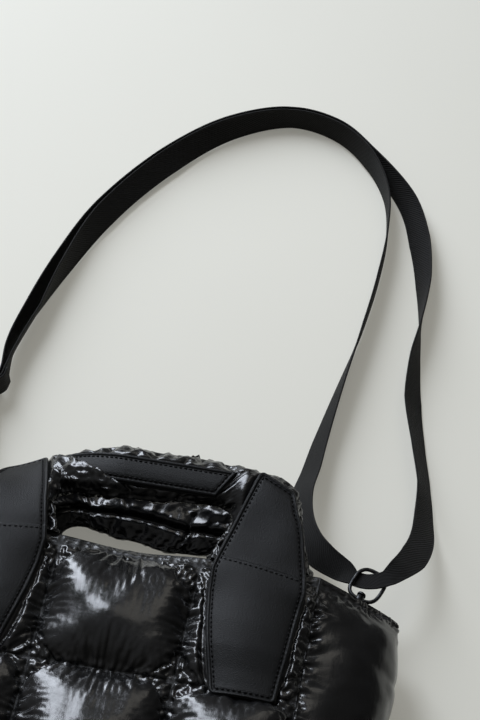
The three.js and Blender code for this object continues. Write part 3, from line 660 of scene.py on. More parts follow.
# Leather tabs: rows of distance s above the panel's top edge, half width, lift off it and shift outwards
tab = {"centre": 85.5, "thick": 1.8, "wide": 31, "corner": 4, "crown": 2.2, "lowCrown": 4.4, "crownFrom": 4,
       "crownOver": 26, "wave": 0.55, "waveAcross": 23, "waveAlong": 31, "rim": 2.5, "rimLift": 0.42,
       "lip": 0.5, "lipReach": 0.7, "groove": 0.42, "grooveAt": 0.3, "grooveHalf": 0.5, "stitchInset": 3.7,
       "sewnShare": 0.6, "sewnHalf": 0.6, "seamAt": 1.0, "seamSlant": 0.15, "seamReach": 40, "lap": 0.55,
       "lapOver": 0.8, "lapLevel": 2, "lapFade": 30, "lapStitch": 2.6, "slant": 0.5, "slantFrom": 20,
       "slantOver": 46, "stops": (70, 22), "backStops": (24, 8)}
tabRows = np.array([
    (66, 12.5, 8.8, 0), (58, 15, 10.4, 0), (40, 19.5, 10.2, 0), (20, 24.5, 9.4, 0), (2, 29.5, 9.4, 0),
    (-9, 31.4, 9.4, -0.4), (-25, 30.5, 9.4, -0.6), (-45, 28.4, 9.4, 0), (-62, 26.1, 8.4, 1.1),
    (-77, 23.4, 6.2, 2.3), (-88, 21.7, 5.6, 3.3), (-95, 20.6, 6, 3.9)])[::-1]
tabFoot, tabHead = tabRows[0, 0], tabRows[-1, 0]


def tabHalf(s):
    return np.interp(s, tabRows[:, 0], tabRows[:, 1])


def tabMiddle(s):
    return tab["centre"] + np.interp(s, tabRows[:, 0], tabRows[:, 3])


# The underside of a tab: crowned across, more on its lower half, with slow waves
def tabLift(s, offset):
    crown = mix(tab["crown"], tab["lowCrown"], ease(-(s + tab["crownFrom"]) / tab["crownOver"]))
    wave = tab["wave"] * noise(offset / tab["waveAcross"] + 3.3, s / tab["waveAlong"] + 1.2)
    return np.interp(s, tabRows[:, 0], tabRows[:, 2]) + wave - crown * (offset / tab["wide"]) ** 2


# How far a place on a row drops: the upper end and the cross seam are cut on a slant, lower on the outside
def tabDrop(row, offset):
    cut = tab["slant"] * ease((row - tab["slantFrom"]) / tab["slantOver"])
    lap = tab["seamSlant"] * np.maximum(0, 1 - ((row - tab["seamAt"]) / tab["seamReach"]) ** 2) ** 2
    return (cut + lap) * (offset + tabHalf(row))


# How far a place on the front lies inside a tab's outline, negative outside it
def insideTab(x, s):
    offset = np.abs(x) - tabMiddle(s)
    row = s
    for _ in range(8):
        row = s + tabDrop(row, offset)
    side = tabHalf(row) - np.abs(offset)
    return np.minimum(side, np.minimum(tabHead - row, row - tabFoot)), offset, row


# Cloth is held down under a tab, dips along its edge and rises in ruffles beside it
tuck = {"clear": 0.6, "sunk": 0.5, "sunkFrom": 1, "sunkOver": 4, "slope": 1.6, "slopeFrom": 0.8,
        "groove": 1.5, "grooveAt": 0.6, "grooveHalf": 1.4, "ruffle": 3.5, "ruffleAcross": 9,
        "ruffleAlong": 2.6, "ruffleFrom": 1.2}


def pressUnderTab(lift, x, s):
    depth, offset, row = insideTab(x, s)
    sunk = tuck["sunk"] * ease((depth - tuck["sunkFrom"]) / tuck["sunkOver"])
    beside = tuck["slope"] * np.maximum(0, -depth - tuck["slopeFrom"])
    groove = tuck["groove"] * bell((depth + tuck["grooveAt"]) / tuck["grooveHalf"])
    ruffles = np.abs(noise(x / tuck["ruffleAcross"] + 2.2, s / tuck["ruffleAlong"] + 6.1))
    ruffled = tuck["ruffle"] * ruffles * ease(-depth / tuck["ruffleFrom"])
    return softMin(lift, tabLift(row, offset) - tuck["clear"] - sunk + beside - groove + ruffled)


# Stray buckles away from the seams are evened out: each round moves places towards their neighbours' mean
evening = {"share": 0.5, "from": 4, "over": 10}


def evened(points, away, rounds):
    share = evening["share"] * ease((away - evening["from"]) / evening["over"])[..., None]
    for _ in range(rounds):
        wide = np.pad(points, ((1, 1), (1, 1), (0, 0)), mode="edge")
        mean = (wide[2:, 1:-1] + wide[:-2, 1:-1] + wide[1:-1, 2:] + wide[1:-1, :-2]) / 4
        points = mix(points, mean, share)
    return points


# A padded sheet over two rows of stops: swollen from its seams, made finer, gathered, then pressed.
# Seams come as (distance along, distance beside, seed). Both its faces come back, with their creases
def padSheet(pStops, qStops, surface, seams, recipe, free=None, flatten=None, press=None, dullShade=None):
    def laidOut(pStops, qStops):
        p, q = np.meshgrid(pStops, qStops, indexing="ij")
        middle, families = surface(p, q), seams(p, q)
        away = np.min([beside for _, beside, _ in families], axis=0)
        dome = np.sqrt(np.clip(away / seam["domeReach"], 0, 1))
        return p, q, middle, gridNormals(middle), families, away, dome

    p, q, middle, normal, families, away, dome = laidOut(pStops, qStops)
    held = away < seam["touch"]
    if free is not None:
        held = held & ~free(p, q)
    crinkle = allPuckers(families, recipe["reach"])
    start = seam["edge"] + recipe["dome"] * dome + seam["startGather"] * crinkle
    outer = middle + normal * start[..., None]
    outer = puffUp(outer, held, away, recipe["spare"], recipe["pressure"])
    outer = finer(evened(outer, away, recipe["even"]))
    p, q, middle, normal, families, away, dome = laidOut(midway(pStops), midway(qStops))
    lift = ((outer - middle) * normal).sum(-1)
    drift = outer - middle - normal * lift[..., None]
    strayed = np.linalg.norm(drift, axis=-1, keepdims=True)
    drift = drift * np.minimum(1, recipe["drift"] / np.maximum(strayed, 1e-6))
    print("  swelled by", round(lift.max(), 1), "mm")
    lift = lift * min(1, recipe["tallest"] / lift.max())
    crinkle = recipe["gather"] * allPuckers(families, recipe["reach"])
    crinkle = crinkle + recipe["dented"] * dents(families, away)
    if flatten is not None:
        lift = lift * flatten(p, q)
        crinkle = crinkle * flatten(p, q)
    outer = middle + drift + normal * np.maximum(lift, seam["lowest"])[..., None]
    outer = outer + gridNormals(outer) * crinkle[..., None]
    if press:
        lift = ((outer - middle) * normal).sum(-1)
        outer = outer + normal * (press(lift, p, q) - lift)[..., None]
    inner = middle - normal * (seam["edge"] + recipe["inside"] * dome)[..., None]
    # the crease share dulls the seams and paints them darker: painted shade in their valleys
    crease = bell(away / seam["crease"])
    if dullShade:
        crease = np.maximum(crease, dullShade(p, q))
    return outer, inner, np.stack([crease, crease])


def makeFront():
    gap = panel["gap"]
    half, column = panel["halfTop"] - gap, panel["column"]
    low, high = panel["bottom"] + gap, panel["top"] - gap
    columns, rows = [-half, -column, column, half], [low, panel["row"], high - panel["hem"], high]

    def seams(x, y):
        return [(y, nearest(x, columns), 3.1), (x, nearest(y, rows), 5.7)]

    def flatten(x, y):
        return mix(panel["hemShare"], 1, ease((high - panel["hem"] - y) / panel["hemFade"]))

    def press(lift, x, y):
        return pressUnderTab(lift, x, y - panel["top"])

    # the hem is dulled and painted darker: painted shade where it curls down over the mouth
    def dullShade(x, y):
        return panel["hemDullShade"] * ease((y - high + panel["hem"] + panel["dullFrom"]) / panel["dullFade"])

    xStops, yStops = stopsBetween(columns, panel["columnSteps"]), stopsBetween(rows, panel["rowSteps"])
    outer, inner, crease = padSheet(xStops, yStops, frontSheet, seams, panel,
                                    flatten=flatten, press=press, dullShade=dullShade)
    piece = makePiece("quilted_front", *shell(outer, inner), crease=crease)
    hand(piece, "front_panel", "quilted_nylon")


makeFront()
print("quilted front")


# Uniform Catmull-Rom through equally spaced rows, at places from 0 to 1 along them
def spline(rows, t):
    last = len(rows) - 1
    place = np.clip(t, 0, 1) * last
    k = np.minimum(place.astype(int), last - 1)
    f = (place - k)[..., None]
    before, here = rows[np.maximum(k - 1, 0)], rows[k]
    after, beyond = rows[k + 1], rows[np.minimum(k + 2, last)]
    return cubicBetween(here, after, (after - before) / 2, (beyond - here) / 2, f)


# Side gussets: sections between the front and back seams, pushed out to a fold down their middle
gusset = {"depth": 135, "length": 180, "backTop": 49, "backRise": 6, "gap": -0.3, "hem": 6, "looseHem": 0.2,
          "angular": 1.3, "rounded": 1.1, "mouthShare": 0.35, "mouthReach": 22, "inside": 4, "even": 8,
          "spare": (0.03, 0.16), "pressure": 3, "dome": 5, "tallest": 8.5, "drift": 2, "gather": 1.35,
          "reach": 0.8, "dented": 0.9, "fill": 0.6, "acrossStops": 67, "downSteps": [4, 85]}
gussetFold = np.array([
    (176, 38, 41), (181.5, -2, 41), (177, -48, 42), (164.5, -106, 44), (146, -157, 46)], float)


# Share of a fold's depth across a gusset: angular at the mouth, round lower down
def foldShape(u, roundness):
    angular = 1 - np.abs(2 * u - 1) ** gusset["angular"]
    rounded = np.maximum(np.sin(np.pi * u), 0) ** gusset["rounded"]
    return mix(angular, rounded, roundness)


# Gusset surface: u from the front seam to the back one, t from the mouth down to the base
def gussetSheet(u, t):
    half = mix(panel["halfTop"], panel["halfBottom"], t)
    frontY = mix(panel["top"], panel["bottom"], t)
    front = vec(half, frontY, frontHeight(frontY))
    back = vec(half, mix(gusset["backTop"], panel["bottom"], t), gusset["backRise"])
    depth = spline(gussetFold, t) - (front + back) / 2
    return mix(front, back, u[..., None]) + depth * foldShape(u, ease(2 * t))[..., None]


def makeGussets():
    gap, deep, length = gusset["gap"], gusset["depth"], gusset["length"]
    across = np.linspace(gap / deep, 1 - gap / deep, gusset["acrossStops"])
    mouth, foot = gap / length, 1 - gap / length
    hem = mouth + gusset["hem"] / length
    down = stopsBetween([mouth, hem, foot], gusset["downSteps"])[::-1]

    def seams(u, t):
        return [(t * length, nearest(u, [across[0], across[-1]]) * deep, 1.9),
                (u * deep, nearest(t, [mouth, hem, foot]) * length, 4.4)]

    # the hem is loose where the gusset folds
    def free(u, t):
        return (np.abs(u - 0.5) < gusset["looseHem"]) & (np.abs(t - hem) < 1e-6)

    # and the padding thins out towards the mouth
    def flatten(u, t):
        return mix(gusset["mouthShare"], 1, ease((t - mouth) * length / gusset["mouthReach"]))

    outer, inner, crease = padSheet(across, down, gussetSheet, seams, gusset, free=free, flatten=flatten)
    for name, side in bothSides.items():
        turned = np.array([side, 1, 1])
        piece = makePiece("puffed_gusset_" + name, *shell(outer * turned, inner * turned), crease=crease)
        hand(piece, "gusset_" + name, "quilted_nylon")


makeGussets()
print("gussets")

# Base: the same fold between the lower edges of the two big panels, in three cells
base = {"gap": -0.3, "fold": (-161, 48), "corner": (146, -157, 46), "inside": 4, "even": 0,
        "spare": (0.07, 0.16), "pressure": 3, "dome": 4, "tallest": 12, "drift": 4, "gather": 1, "reach": 1,
        "dented": 1, "fill": 0.6, "columnSteps": [30, 36, 30], "acrossStops": 54}


# Base surface: a from end to end, t from the front seam to the back one
def baseSheet(a, t):
    front = vec(panel["halfBottom"] * a, panel["bottom"], panel["riseBottom"])
    back = vec(panel["halfBottom"] * a, panel["bottom"], gusset["backRise"])
    cornerX, cornerY, cornerZ = base["corner"]
    fold = vec(cornerX * a, mix(base["fold"][0], cornerY, a * a), mix(base["fold"][1], cornerZ, a * a))
    depth = fold - (front + back) / 2
    return mix(front, back, t[..., None]) + depth * foldShape(t, 1)[..., None]


def makeBase():
    reach = 1 - base["gap"] / panel["halfBottom"]
    share = panel["column"] / panel["halfTop"]
    columns = [-reach, -share, share, reach]
    edge = base["gap"] / gusset["depth"]

    def seams(a, t):
        return [(t * gusset["depth"], nearest(a, columns) * panel["halfBottom"], 8.2),
                (a * panel["halfBottom"], nearest(t, [edge, 1 - edge]) * gusset["depth"], 2.6)]

    along = stopsBetween(columns, base["columnSteps"])
    across = np.linspace(1 - edge, edge, base["acrossStops"])
    outer, inner, crease = padSheet(along, across, baseSheet, seams, base)
    piece = makePiece("puffed_base", *shell(outer, inner), crease=crease)
    hand(piece, "base_panel", "quilted_nylon")


makeBase()
print("base")

# Back: the same cells, pressed flat by the floor and by the tabs under it, so they swell inwards
back = {"puff": 15, "inside": 8, "gap": -0.3, "floor": 0.05, "underTab": 2.3, "tabMargin": 1.5,
        "domeReach": 34, "innerGather": 0.8, "fill": 0.5, "columnSteps": [39, 46, 39], "rowSteps": [46, 46]}


def makeBack():
    gap, column = back["gap"], panel["column"]
    half, low, high = panel["halfTop"] - gap, panel["bottom"] + gap, gusset["backTop"] - gap
    columns = [half, column, -column, -half]
    rows = [low, (panel["bottom"] + gusset["backTop"]) / 2, high]
    xStops, yStops = stopsBetween(columns, back["columnSteps"]), stopsBetween(rows, back["rowSteps"])
    x, y = np.meshgrid(xStops, yStops, indexing="ij")
    besideColumn, besideRow = nearest(x, columns), nearest(y, rows)
    away = np.minimum(besideColumn, besideRow)
    narrow = mix(panel["halfBottom"], panel["halfTop"], (y - low) / (high - low)) / panel["halfTop"]
    rise = np.sin(np.pi / 2 * np.sqrt(np.clip(away / back["domeReach"], 0, 1)))
    crinkle = allPuckers([(y, besideColumn, 6.3), (x, besideRow, 9.1)])
    overTab = insideTab(x, y - gusset["backTop"])[0] > -back["tabMargin"]
    lowest = np.where(overTab, back["underTab"], back["floor"])
    under = np.maximum(gusset["backRise"] - seam["edge"] - back["puff"] * rise - crinkle, lowest)
    over = gusset["backRise"] + seam["edge"] + back["inside"] * rise + back["innerGather"] * crinkle
    # the crease share dulls the seams and paints them darker: painted shade in their valleys
    crease = bell(away / seam["crease"])
    outer, inner = vec(x * narrow, y, under), vec(x * narrow, y, over)
    piece = makePiece("quilted_back", *shell(outer, inner), crease=np.stack([crease, crease]))
    hand(piece, "back_panel", "quilted_nylon")


makeBack()
print("quilted back")

# Handles: inner and outer outlines as x and s above the panel's top edge, and half the thickness
handle = {"sides": 48, "stations": 150, "power": 2.5, "spacing": 0.8, "start": 0.9, "root": 0.4,
          "lowest": 0.3, "spare": (0.08, 0.3), "pressure": 2, "liftShare": 0.6, "wander": 1.1,
          "wanderPitch": 9, "startGather": 0.5, "gather": 1.1, "seed": 12.4, "hang": 5.5, "hangAt": -24,
          "hangHalf": 38, "backRise": 11.4, "backHole": 0.81, "floorGap": 0.1, "underLeather": 2.2,
          "leatherMargin": 1.5, "fill": 0.6}
handleRows = np.array([
    (50, 0, 117, 0, 8), (53, 10, 113, 12, 8), (56, 20, 108, 28, 8), (58.5, 28, 104, 45, 8),
    (58.5, 34, 99, 58, 8.4), (54, 38, 88, 67, 8.8), (45, 39, 73, 70, 9), (24, 39, 36, 72.5, 9)])
handleTop = np.array([(0, 39, 0, 73, 9)])
droop = {"rest": 2, "left": 38, "from": 15, "over": 85, "bend": 30}


# A place on the front: below the top edge on the panel, above it along an arc that droops most on the left
def frontPlace(x, s, lift):
    full = np.radians(droop["rest"] + droop["left"] * ease((-x - droop["from"]) / droop["over"]))
    radius = droop["bend"] / full
    turned = full * np.clip(s / droop["bend"], 0, 1)
    straight = np.maximum(0, s - droop["bend"])
    y = radius * np.sin(turned) + straight * np.cos(full) + lift * np.sin(turned)
    fall = radius * (1 - np.cos(turned)) + straight * np.sin(full)
    z = panel["riseTop"] - fall + lift * np.cos(turned)
    flat = s <= 0
    onPanel = panel["top"] + np.minimum(s, 0)
    return vec(x, np.where(flat, onPanel, panel["top"] + y), np.where(flat, frontHeight(onPanel) + lift, z))


# The back handle lies on the floor with its outer face down
def backPlace(x, s, lift):
    return vec(x, gusset["backTop"] + s, handle["backRise"] - lift)


def oval(across):
    return np.maximum(0, 1 - np.abs(across) ** handle["power"]) ** (1 / handle["power"])


# Grip patches: wider at the upper edge, over the middle of each handle
grip = {"low": 41, "high": 61, "lowHalf": 47, "highHalf": 58, "middle": 56, "half": 17, "rise": 9.8,
        "flatter": 0.9, "stops": (4, 40)}


def gripHalf(s):
    return mix(grip["lowHalf"], grip["highHalf"], (s - grip["low"]) / (grip["high"] - grip["low"]))


def gripLift(s):
    return grip["rise"] * oval(grip["flatter"] * (s - grip["middle"]) / grip["half"])


def insideGrip(x, s):
    return np.minimum(gripHalf(s) - np.abs(x), np.minimum(s - grip["low"], grip["high"] - s))


# A puffed arch in x, s and lift: oval sections between the outlines, gathered along both.
# Its folds, the run along it, the distance from its hole and the height of its inner outline come with it
def handleArch():
    mirrored = handleRows[::-1] * np.array([-1, 1, -1, 1, 1])
    rows = spline(np.concatenate([handleRows, handleTop, mirrored]), np.linspace(0, 1, handle["stations"]))
    angle = fullTurn(handle["sides"])
    outwards = np.sign(np.cos(angle))
    across = outwards * np.abs(np.cos(angle)) ** handle["spacing"]
    share = (1 + across) / 2
    x = mix(rows[:, :1], rows[:, 2:3], share)
    s = np.maximum(mix(rows[:, 1:2], rows[:, 3:4], share), handle["root"])
    lift = np.sign(np.sin(angle)) * oval(across) * rows[:, 4:5] * handle["start"]
    arch = vec(x, s, lift)
    middle = arch.mean(1, keepdims=True)
    run = runAlong(middle[:, 0])[:, None]
    width = np.linalg.norm(rows[:, 2:4] - rows[:, :2], axis=-1)[:, None]
    away = np.minimum(1 - share, share) * width + np.abs(lift) * handle["liftShare"]
    sewn = np.abs(np.sin(angle)) < seam["touch"]
    sway = handle["wander"] * noise(run / handle["wanderPitch"] + 3.3 * outwards, 2.7)
    gathers = handle["startGather"] * puckers(run, away, handle["seed"] + np.sign(lift))
    arch = arch + unit(arch - middle) * (sway * sewn + gathers)[..., None]
    held = np.broadcast_to(sewn, x.shape).copy()
    held[[0, -1]] = True
    flipped = [grid[:, ::-1] for grid in (arch, held, away)]
    arch = puffUp(*flipped, handle["spare"], handle["pressure"], tube=True)[:, ::-1]
    arch, away, run = finer(arch, ring=True), finer(away, ring=True), halved(run, 0)
    fold = handle["gather"] * puckers(run, np.abs(away), handle["seed"] + np.sign(arch[..., 2]))
    folds = unit(arch - arch.mean(1, keepdims=True)) * fold[..., None]
    return arch, folds, run, finer(share * width, ring=True), finer((1 - share) * rows[:, 1:2], ring=True)


# Greatest lift of a handle's cloth, from the lift of leather over it and the depth inside its outline
ceiling = {"clear": 0.5, "slope": 1.6, "from": 0.3}


def ceilingUnder(leatherLift, depth):
    return leatherLift - ceiling["clear"] + ceiling["slope"] * np.maximum(0, -depth - ceiling["from"])


# Crumpled cloth laps over the lower left end of the front grip patch
gripLap = {"from": -14, "slope": 0.45, "over": 3, "liftOver": 4, "end": -76, "endOver": 10, "low": 30,
           "lowOver": 8, "rise": 3.4, "crumple": 1.3, "pitch": (5.2, 9, 4.4), "shift": 1.3,
           "finePitch": (2.9, 6, 2.6), "fineShare": 0.6}


def frontHandle(arch, folds, innerShare):
    x, s, lift = np.moveaxis(arch + folds, -1, 0)
    hang = handle["hang"] * bell((x - handle["hangAt"]) / handle["hangHalf"])
    s = np.maximum(s - hang * innerShare, handle["lowest"])
    depth, offset, row = insideTab(x, s)
    underTab = ceilingUnder(tabLift(row, offset), depth)
    underGrip = ceilingUnder(gripLift(s), insideGrip(x, s))
    past = (gripLap["from"] - x) * gripLap["slope"] + grip["low"] - s
    lapped = ease(past / gripLap["over"]) * ease(lift / gripLap["liftOver"])
    lapped = lapped * ease((x - gripLap["end"]) / gripLap["endOver"])
    lapped = lapped * ease((s - gripLap["low"]) / gripLap["lowOver"])
    raised = gripLift(s) + gripLap["rise"] + gripLap["crumple"] * crumpled(x, s, gripLap)
    lift = np.minimum(lift, np.minimum(underTab, underGrip))
    return frontPlace(x, s, mix(lift, np.minimum(np.maximum(lift, raised), underTab), lapped))


# The back handle has a calm band beside its hole, then a gathered ridge and a crumpled slope
ridge = {"at": 12, "calm": 6, "high": 2.3, "peak": 2.5, "peakHalf": 1.8, "dipHalf": 1.6, "seed": 21.3,
         "crumple": 1.0, "crumpleFrom": 4, "crumpleOver": 5, "pitch": (7, 9, 6), "shift": 3.1,
         "finePitch": (3.4, 7, 4.2), "fineShare": -0.5, "leftShare": 0.4, "rightShare": 1.7,
         "rightFrom": -5, "rightOver": 45, "thin": 0.5, "thick": 1.2, "thickOver": 28, "faceOver": 3,
         "above": 22, "aboveOver": 8}
# its lower edge bulges to the right and lifts at the left: depth, x and half width
backBulges = [(4.5, 22, 26), (-4, -48, 16)]


def backHandle(arch, folds, innerShare, run, fromHole, holeHeight):
    past = fromHole - ridge["at"]
    calmed = folds * ease((past + ridge["calm"]) / ridge["calm"])[..., None]
    x, s, lift = np.moveaxis(arch + calmed, -1, 0)
    s = np.maximum(s, handle["lowest"])
    wedge = mix(ridge["thin"], ridge["thick"], ease(fromHole / ridge["thickOver"]))
    lift = lift * mix(1, wedge, ease(-lift / ridge["faceOver"]))
    leatherDepth = np.maximum(insideTab(x, s)[0], insideGrip(x, s))
    sunk = handle["underLeather"] * ease(leatherDepth / handle["leatherMargin"] + 1)
    pressed = np.minimum(lift, handle["backRise"] - handle["floorGap"] - sunk)
    peak = bell((past - ridge["peak"]) / ridge["peakHalf"])
    rise = ridge["high"] * (peak - bell(past / ridge["dipHalf"]))
    rise = rise + puckers(run, np.abs(past), ridge["seed"]) * (past > 0)
    crumple = ridge["crumple"] * ease((past - ridge["crumpleFrom"]) / ridge["crumpleOver"])
    toRight = ease((x - ridge["rightFrom"]) / ridge["rightOver"])
    crumple = crumple * mix(ridge["leftShare"], ridge["rightShare"], toRight)
    rise = rise + crumple * crumpled(run, past, ridge)
    upperFace = ease(-lift / ridge["faceOver"]) * ease((s - ridge["above"]) / ridge["aboveOver"])
    bulge = sum(deep * bell((x - at) / half) for deep, at, half in backBulges)
    s = np.maximum(s - (1 - handle["backHole"]) * holeHeight - bulge * innerShare, handle["lowest"])
    return backPlace(x, s, pressed - rise * upperFace)


def makeHandles():
    arch, folds, run, fromHole, holeHeight = handleArch()
    innerShare = holeHeight / handleTop[0, 1]
    front = frontHandle(arch, folds, innerShare)
    behind = backHandle(arch, folds, innerShare, run, fromHole, holeHeight)
    for node, points in (("front_handle", front), ("back_handle", behind)):
        hand(makePiece("puffed_" + node, *cappedTube(points)), node, "quilted_nylon")


makeHandles()
print("handles")


# Leather's upper face by distance from its edge: a rolled rim, a sewn groove and a level field
def edgeProfile(d):
    rim = np.clip(d / tab["rim"], 0, 1)
    bead = tab["rimLift"] * np.sqrt(np.clip(1 - (2 * rim - 1) ** 2, 0, 1))
    lip = -tab["lip"] * tab["thick"] * np.clip(1 - d / tab["lipReach"], 0, 1) ** 2
    groove = -tab["groove"] * bell((d - tab["rim"] - tab["grooveAt"]) / tab["grooveHalf"])
    sewn = -tab["sewnShare"] * tab["groove"] * bell((d - tab["stitchInset"]) / tab["sewnHalf"])
    return np.where(d < tab["rim"], bead, 0) + lip + groove + sewn


# Stops from edge to edge, close together over the rim
rimStops = np.array([0, 0.25, 0.6, 1.0, 1.5, 2.0, 2.5, 2.85, 3.15, 3.5, 4.0, 4.6, 5.3, 6.5])
rimReach = 9


def edgeStops(low, high, count):
    inner = np.linspace(low + rimReach, high - rimReach, count)
    return np.concatenate([low + rimStops, inner, high - rimStops[::-1]])


# Short stitches along a path: each a bent tube that dips into the leather at both ends
stitch = {"pitch": 3.3, "length": 2.4, "radius": 0.56, "sides": 6, "rise": 0.30, "dip": 0.75}
stitchAlong = np.array([-1, -0.7, 0, 0.7, 1])
stitchGirth = np.array([0.55, 0.95, 1, 0.95, 0.55])


def stitchRun(path, normals):
    run = runAlong(path)
    count = max(1, int(run[-1] / stitch["pitch"]))
    centres = (np.arange(count) + 0.5) * run[-1] / count
    places = centres[:, None] + stitchAlong * stitch["length"] / 2
    at = np.stack([np.interp(places, run, path[:, k]) for k in range(3)], axis=-1)
    up = unit(np.stack([np.interp(places, run, normals[:, k]) for k in range(3)], axis=-1))
    side = np.cross(unit(np.gradient(at, axis=1)), up)
    at = at + up * (stitch["rise"] - stitch["dip"] * stitchAlong ** 4)[:, None]
    angle = fullTurn(stitch["sides"])[:, None]
    spoke = side[:, :, None] * np.cos(angle) + up[:, :, None] * np.sin(angle)
    rings = at[:, :, None] + stitch["radius"] * stitchGirth[:, None, None] * spoke
    return [cappedTube(ring) for ring in rings]


# Stitches of one leather piece, from paths of x, s and the lift of its upper face
def sew(name, paths):
    sewn = []
    for x, s, lift in paths:
        level = lift - tab["sewnShare"] * tab["groove"]
        path = frontPlace(x, s, level)
        sewn += stitchRun(path, frontPlace(x, s, level + 1) - path)
    hand(makePiece(name, *joined(sewn)), None, "tab_leather", finish="thread")


# Leather on the front: grid of x and s, its edge distance and the lift of its underside
def leatherSheet(x, s, edge, lift, extra=0):
    outer = frontPlace(x, s, lift + tab["thick"] + edgeProfile(edge) + extra)
    return shell(outer, frontPlace(x, s, lift))


# Leather under the back, with its sewn face down on the floor
def layUnder(name, node, x, s, edge):
    y = gusset["backTop"] + s
    sunk = np.minimum(edgeProfile(edge), 0)
    hand(makePiece(name, *shell(vec(x, y, -sunk), vec(x, y, tab["thick"]))), node, "tab_leather")


# Half width of a tab with its corners rounded off
def roundedHalf(s):
    corner = tab["corner"]
    toEnd = np.clip(np.minimum(tabHead - s, s - tabFoot), 0, corner)
    return tabHalf(s) - (corner - np.sqrt(np.maximum(corner ** 2 - (corner - toEnd) ** 2, 0)))


# The tab's upper leather is lapped over its lower leather by a sewn step
def lapStep(s):
    below = tab["seamAt"] - s
    fade = 1 - ease((below - tab["lapLevel"]) / tab["lapFade"])
    return tab["lap"] * ease(below / tab["lapOver"]) * fade


# Grid over a tab, close at its rim and its lap: offset from its middle, row and distance from its edge
lapStops = tab["seamAt"] + np.array([-1.2, -0.8, -0.4, 0, 0.4])


def tabGrid(rowCount, acrossCount, moreRows=()):
    rows = np.sort(np.append(edgeStops(tabFoot, tabHead, rowCount), moreRows))
    across = edgeStops(-tab["wide"], tab["wide"], acrossCount) / tab["wide"]
    across, s = np.meshgrid(across, rows, indexing="ij")
    offset = across * roundedHalf(s)
    edge = np.minimum(roundedHalf(s) - np.abs(offset), np.minimum(tabHead - s, s - tabFoot))
    return offset, s, np.maximum(edge, 0)


def makeTab(name, side):
    def slanted(offset, s):
        return side * (tabMiddle(s) + offset), s - tabDrop(s, offset)

    offset, s, edge = tabGrid(*tab["stops"], lapStops)
    body = leatherSheet(*slanted(offset, s), edge, tabLift(s, offset), lapStep(s))
    hand(makePiece("leather_tab_" + name, *body), "front_tab_" + name, "tab_leather")
    # stitches run round inside the rim and across at the lap
    inset = tab["stitchInset"]
    low, high, lapAt = tabFoot + inset, tabHead - inset, tab["seamAt"] - tab["lapStitch"]
    rise, ends = np.linspace(low, high, 160), np.linspace(-1, 1, 24)
    wide, lapHalf = tabHalf(rise) - inset, tabHalf(lapAt) - inset - 1
    lines = [(wide, rise), (-wide, rise), (ends * wide[0], low), (ends * wide[-1], high),
             (ends * lapHalf, lapAt)]
    paths = []
    for offset, s in lines:
        offset, s = np.broadcast_arrays(offset, s)
        paths.append((*slanted(offset, s), tabLift(s, offset) + tab["thick"] + lapStep(s)))
    sew("tab_stitches_" + name, paths)
    offset, s, edge = tabGrid(*tab["backStops"])
    layUnder("leather_back_tab_" + name, "back_tab_" + name, *slanted(offset, s), edge)


for name, side in bothSides.items():
    makeTab(name, side)
print("leather tabs")


def makeGrips():
    rowCount, acrossCount = grip["stops"]
    across = edgeStops(-grip["highHalf"], grip["highHalf"], acrossCount) / grip["highHalf"]
    across, s = np.meshgrid(across, edgeStops(grip["low"], grip["high"], rowCount), indexing="ij")
    x = across * gripHalf(s)
    edge = np.maximum(insideGrip(x, s), 0)
    hand(makePiece("leather_grip", *leatherSheet(x, s, edge, gripLift(s))), "front_grip", "tab_leather")
    inset = tab["stitchInset"]
    low, high = grip["low"] + inset, grip["high"] - inset
    ends, rise = np.linspace(-1, 1, 80), np.linspace(low, high, 12)
    wide = gripHalf(rise) - inset
    lines = [(ends * wide[0], low), (ends * wide[-1], high), (wide, rise), (-wide, rise)]
    paths = [np.broadcast_arrays(at, up, gripLift(up) + tab["thick"]) for at, up in lines]
    sew("grip_stitches", paths)
    layUnder("leather_back_grip", "back_grip", x, s, edge)


makeGrips()
print("leather grips")

# Swivel eyes, hooks and side loops share a frame: X along the eye, Y out of the mouth, Z off its face
eye = {"half": (10.2, 12.2), "wire": 1.3, "power": 3, "boss": 2.7, "bossLength": 4.4, "gap": 0.4,
       "right": ((153, 61, 42), (0.92, -0.33, 0), (0.33, 0.92, -0.16)),
       "left": ((-150, 61, 38), (1, 0, 0), (0, 0.99, -0.04))}
hook = {"half": (8, 11), "wire": 1.6, "knob": 3, "shaft": 1.4, "collar": 3, "inside": 3.6, "outside": 5}
loop = {"radius": 3.6, "thick": 1.4, "rise": 3, "width": 7}
# the loop's section: share of its thickness, and place across its width
loopRows = [(0, -0.5), (0.15, -0.5), (1, -0.4), (1, 0.4), (0.15, 0.5), (0, 0.5), (0, 0.4), (0, -0.4)]


def eyeAxes(name):
    at, lengthwise, out = (np.array(v, float) for v in eye[name])
    lengthwise = unit(lengthwise)
    face = unit(np.cross(lengthwise, out))
    return at, np.stack([lengthwise, np.cross(face, lengthwise), face])


# A closed oval of round wire: superellipse path, round section
def ovalWire(half, wire, power, steps=80, sides=14):
    turn, angle = fullTurn(steps), fullTurn(sides)[:, None]
    def squared(v):
        return np.sign(v) * np.abs(v) ** (2 / power)
    path = vec(half[0] * squared(np.cos(turn)), half[1] * squared(np.sin(turn)), 0)
    outward = np.cross(unit(np.roll(path, -1, 0) - np.roll(path, 1, 0)), skyward)
    return closedTube(path[:, None] + wire * (outward[:, None] * np.cos(angle) + skyward * np.sin(angle)))


# A turned body round the Y axis: radius against height
def turned(profile, sides=28):
    angle = fullTurn(sides)
    r, y = np.array(profile, float).T
    return cappedTube(vec(r[:, None] * np.cos(angle), y[:, None], r[:, None] * np.sin(angle)))


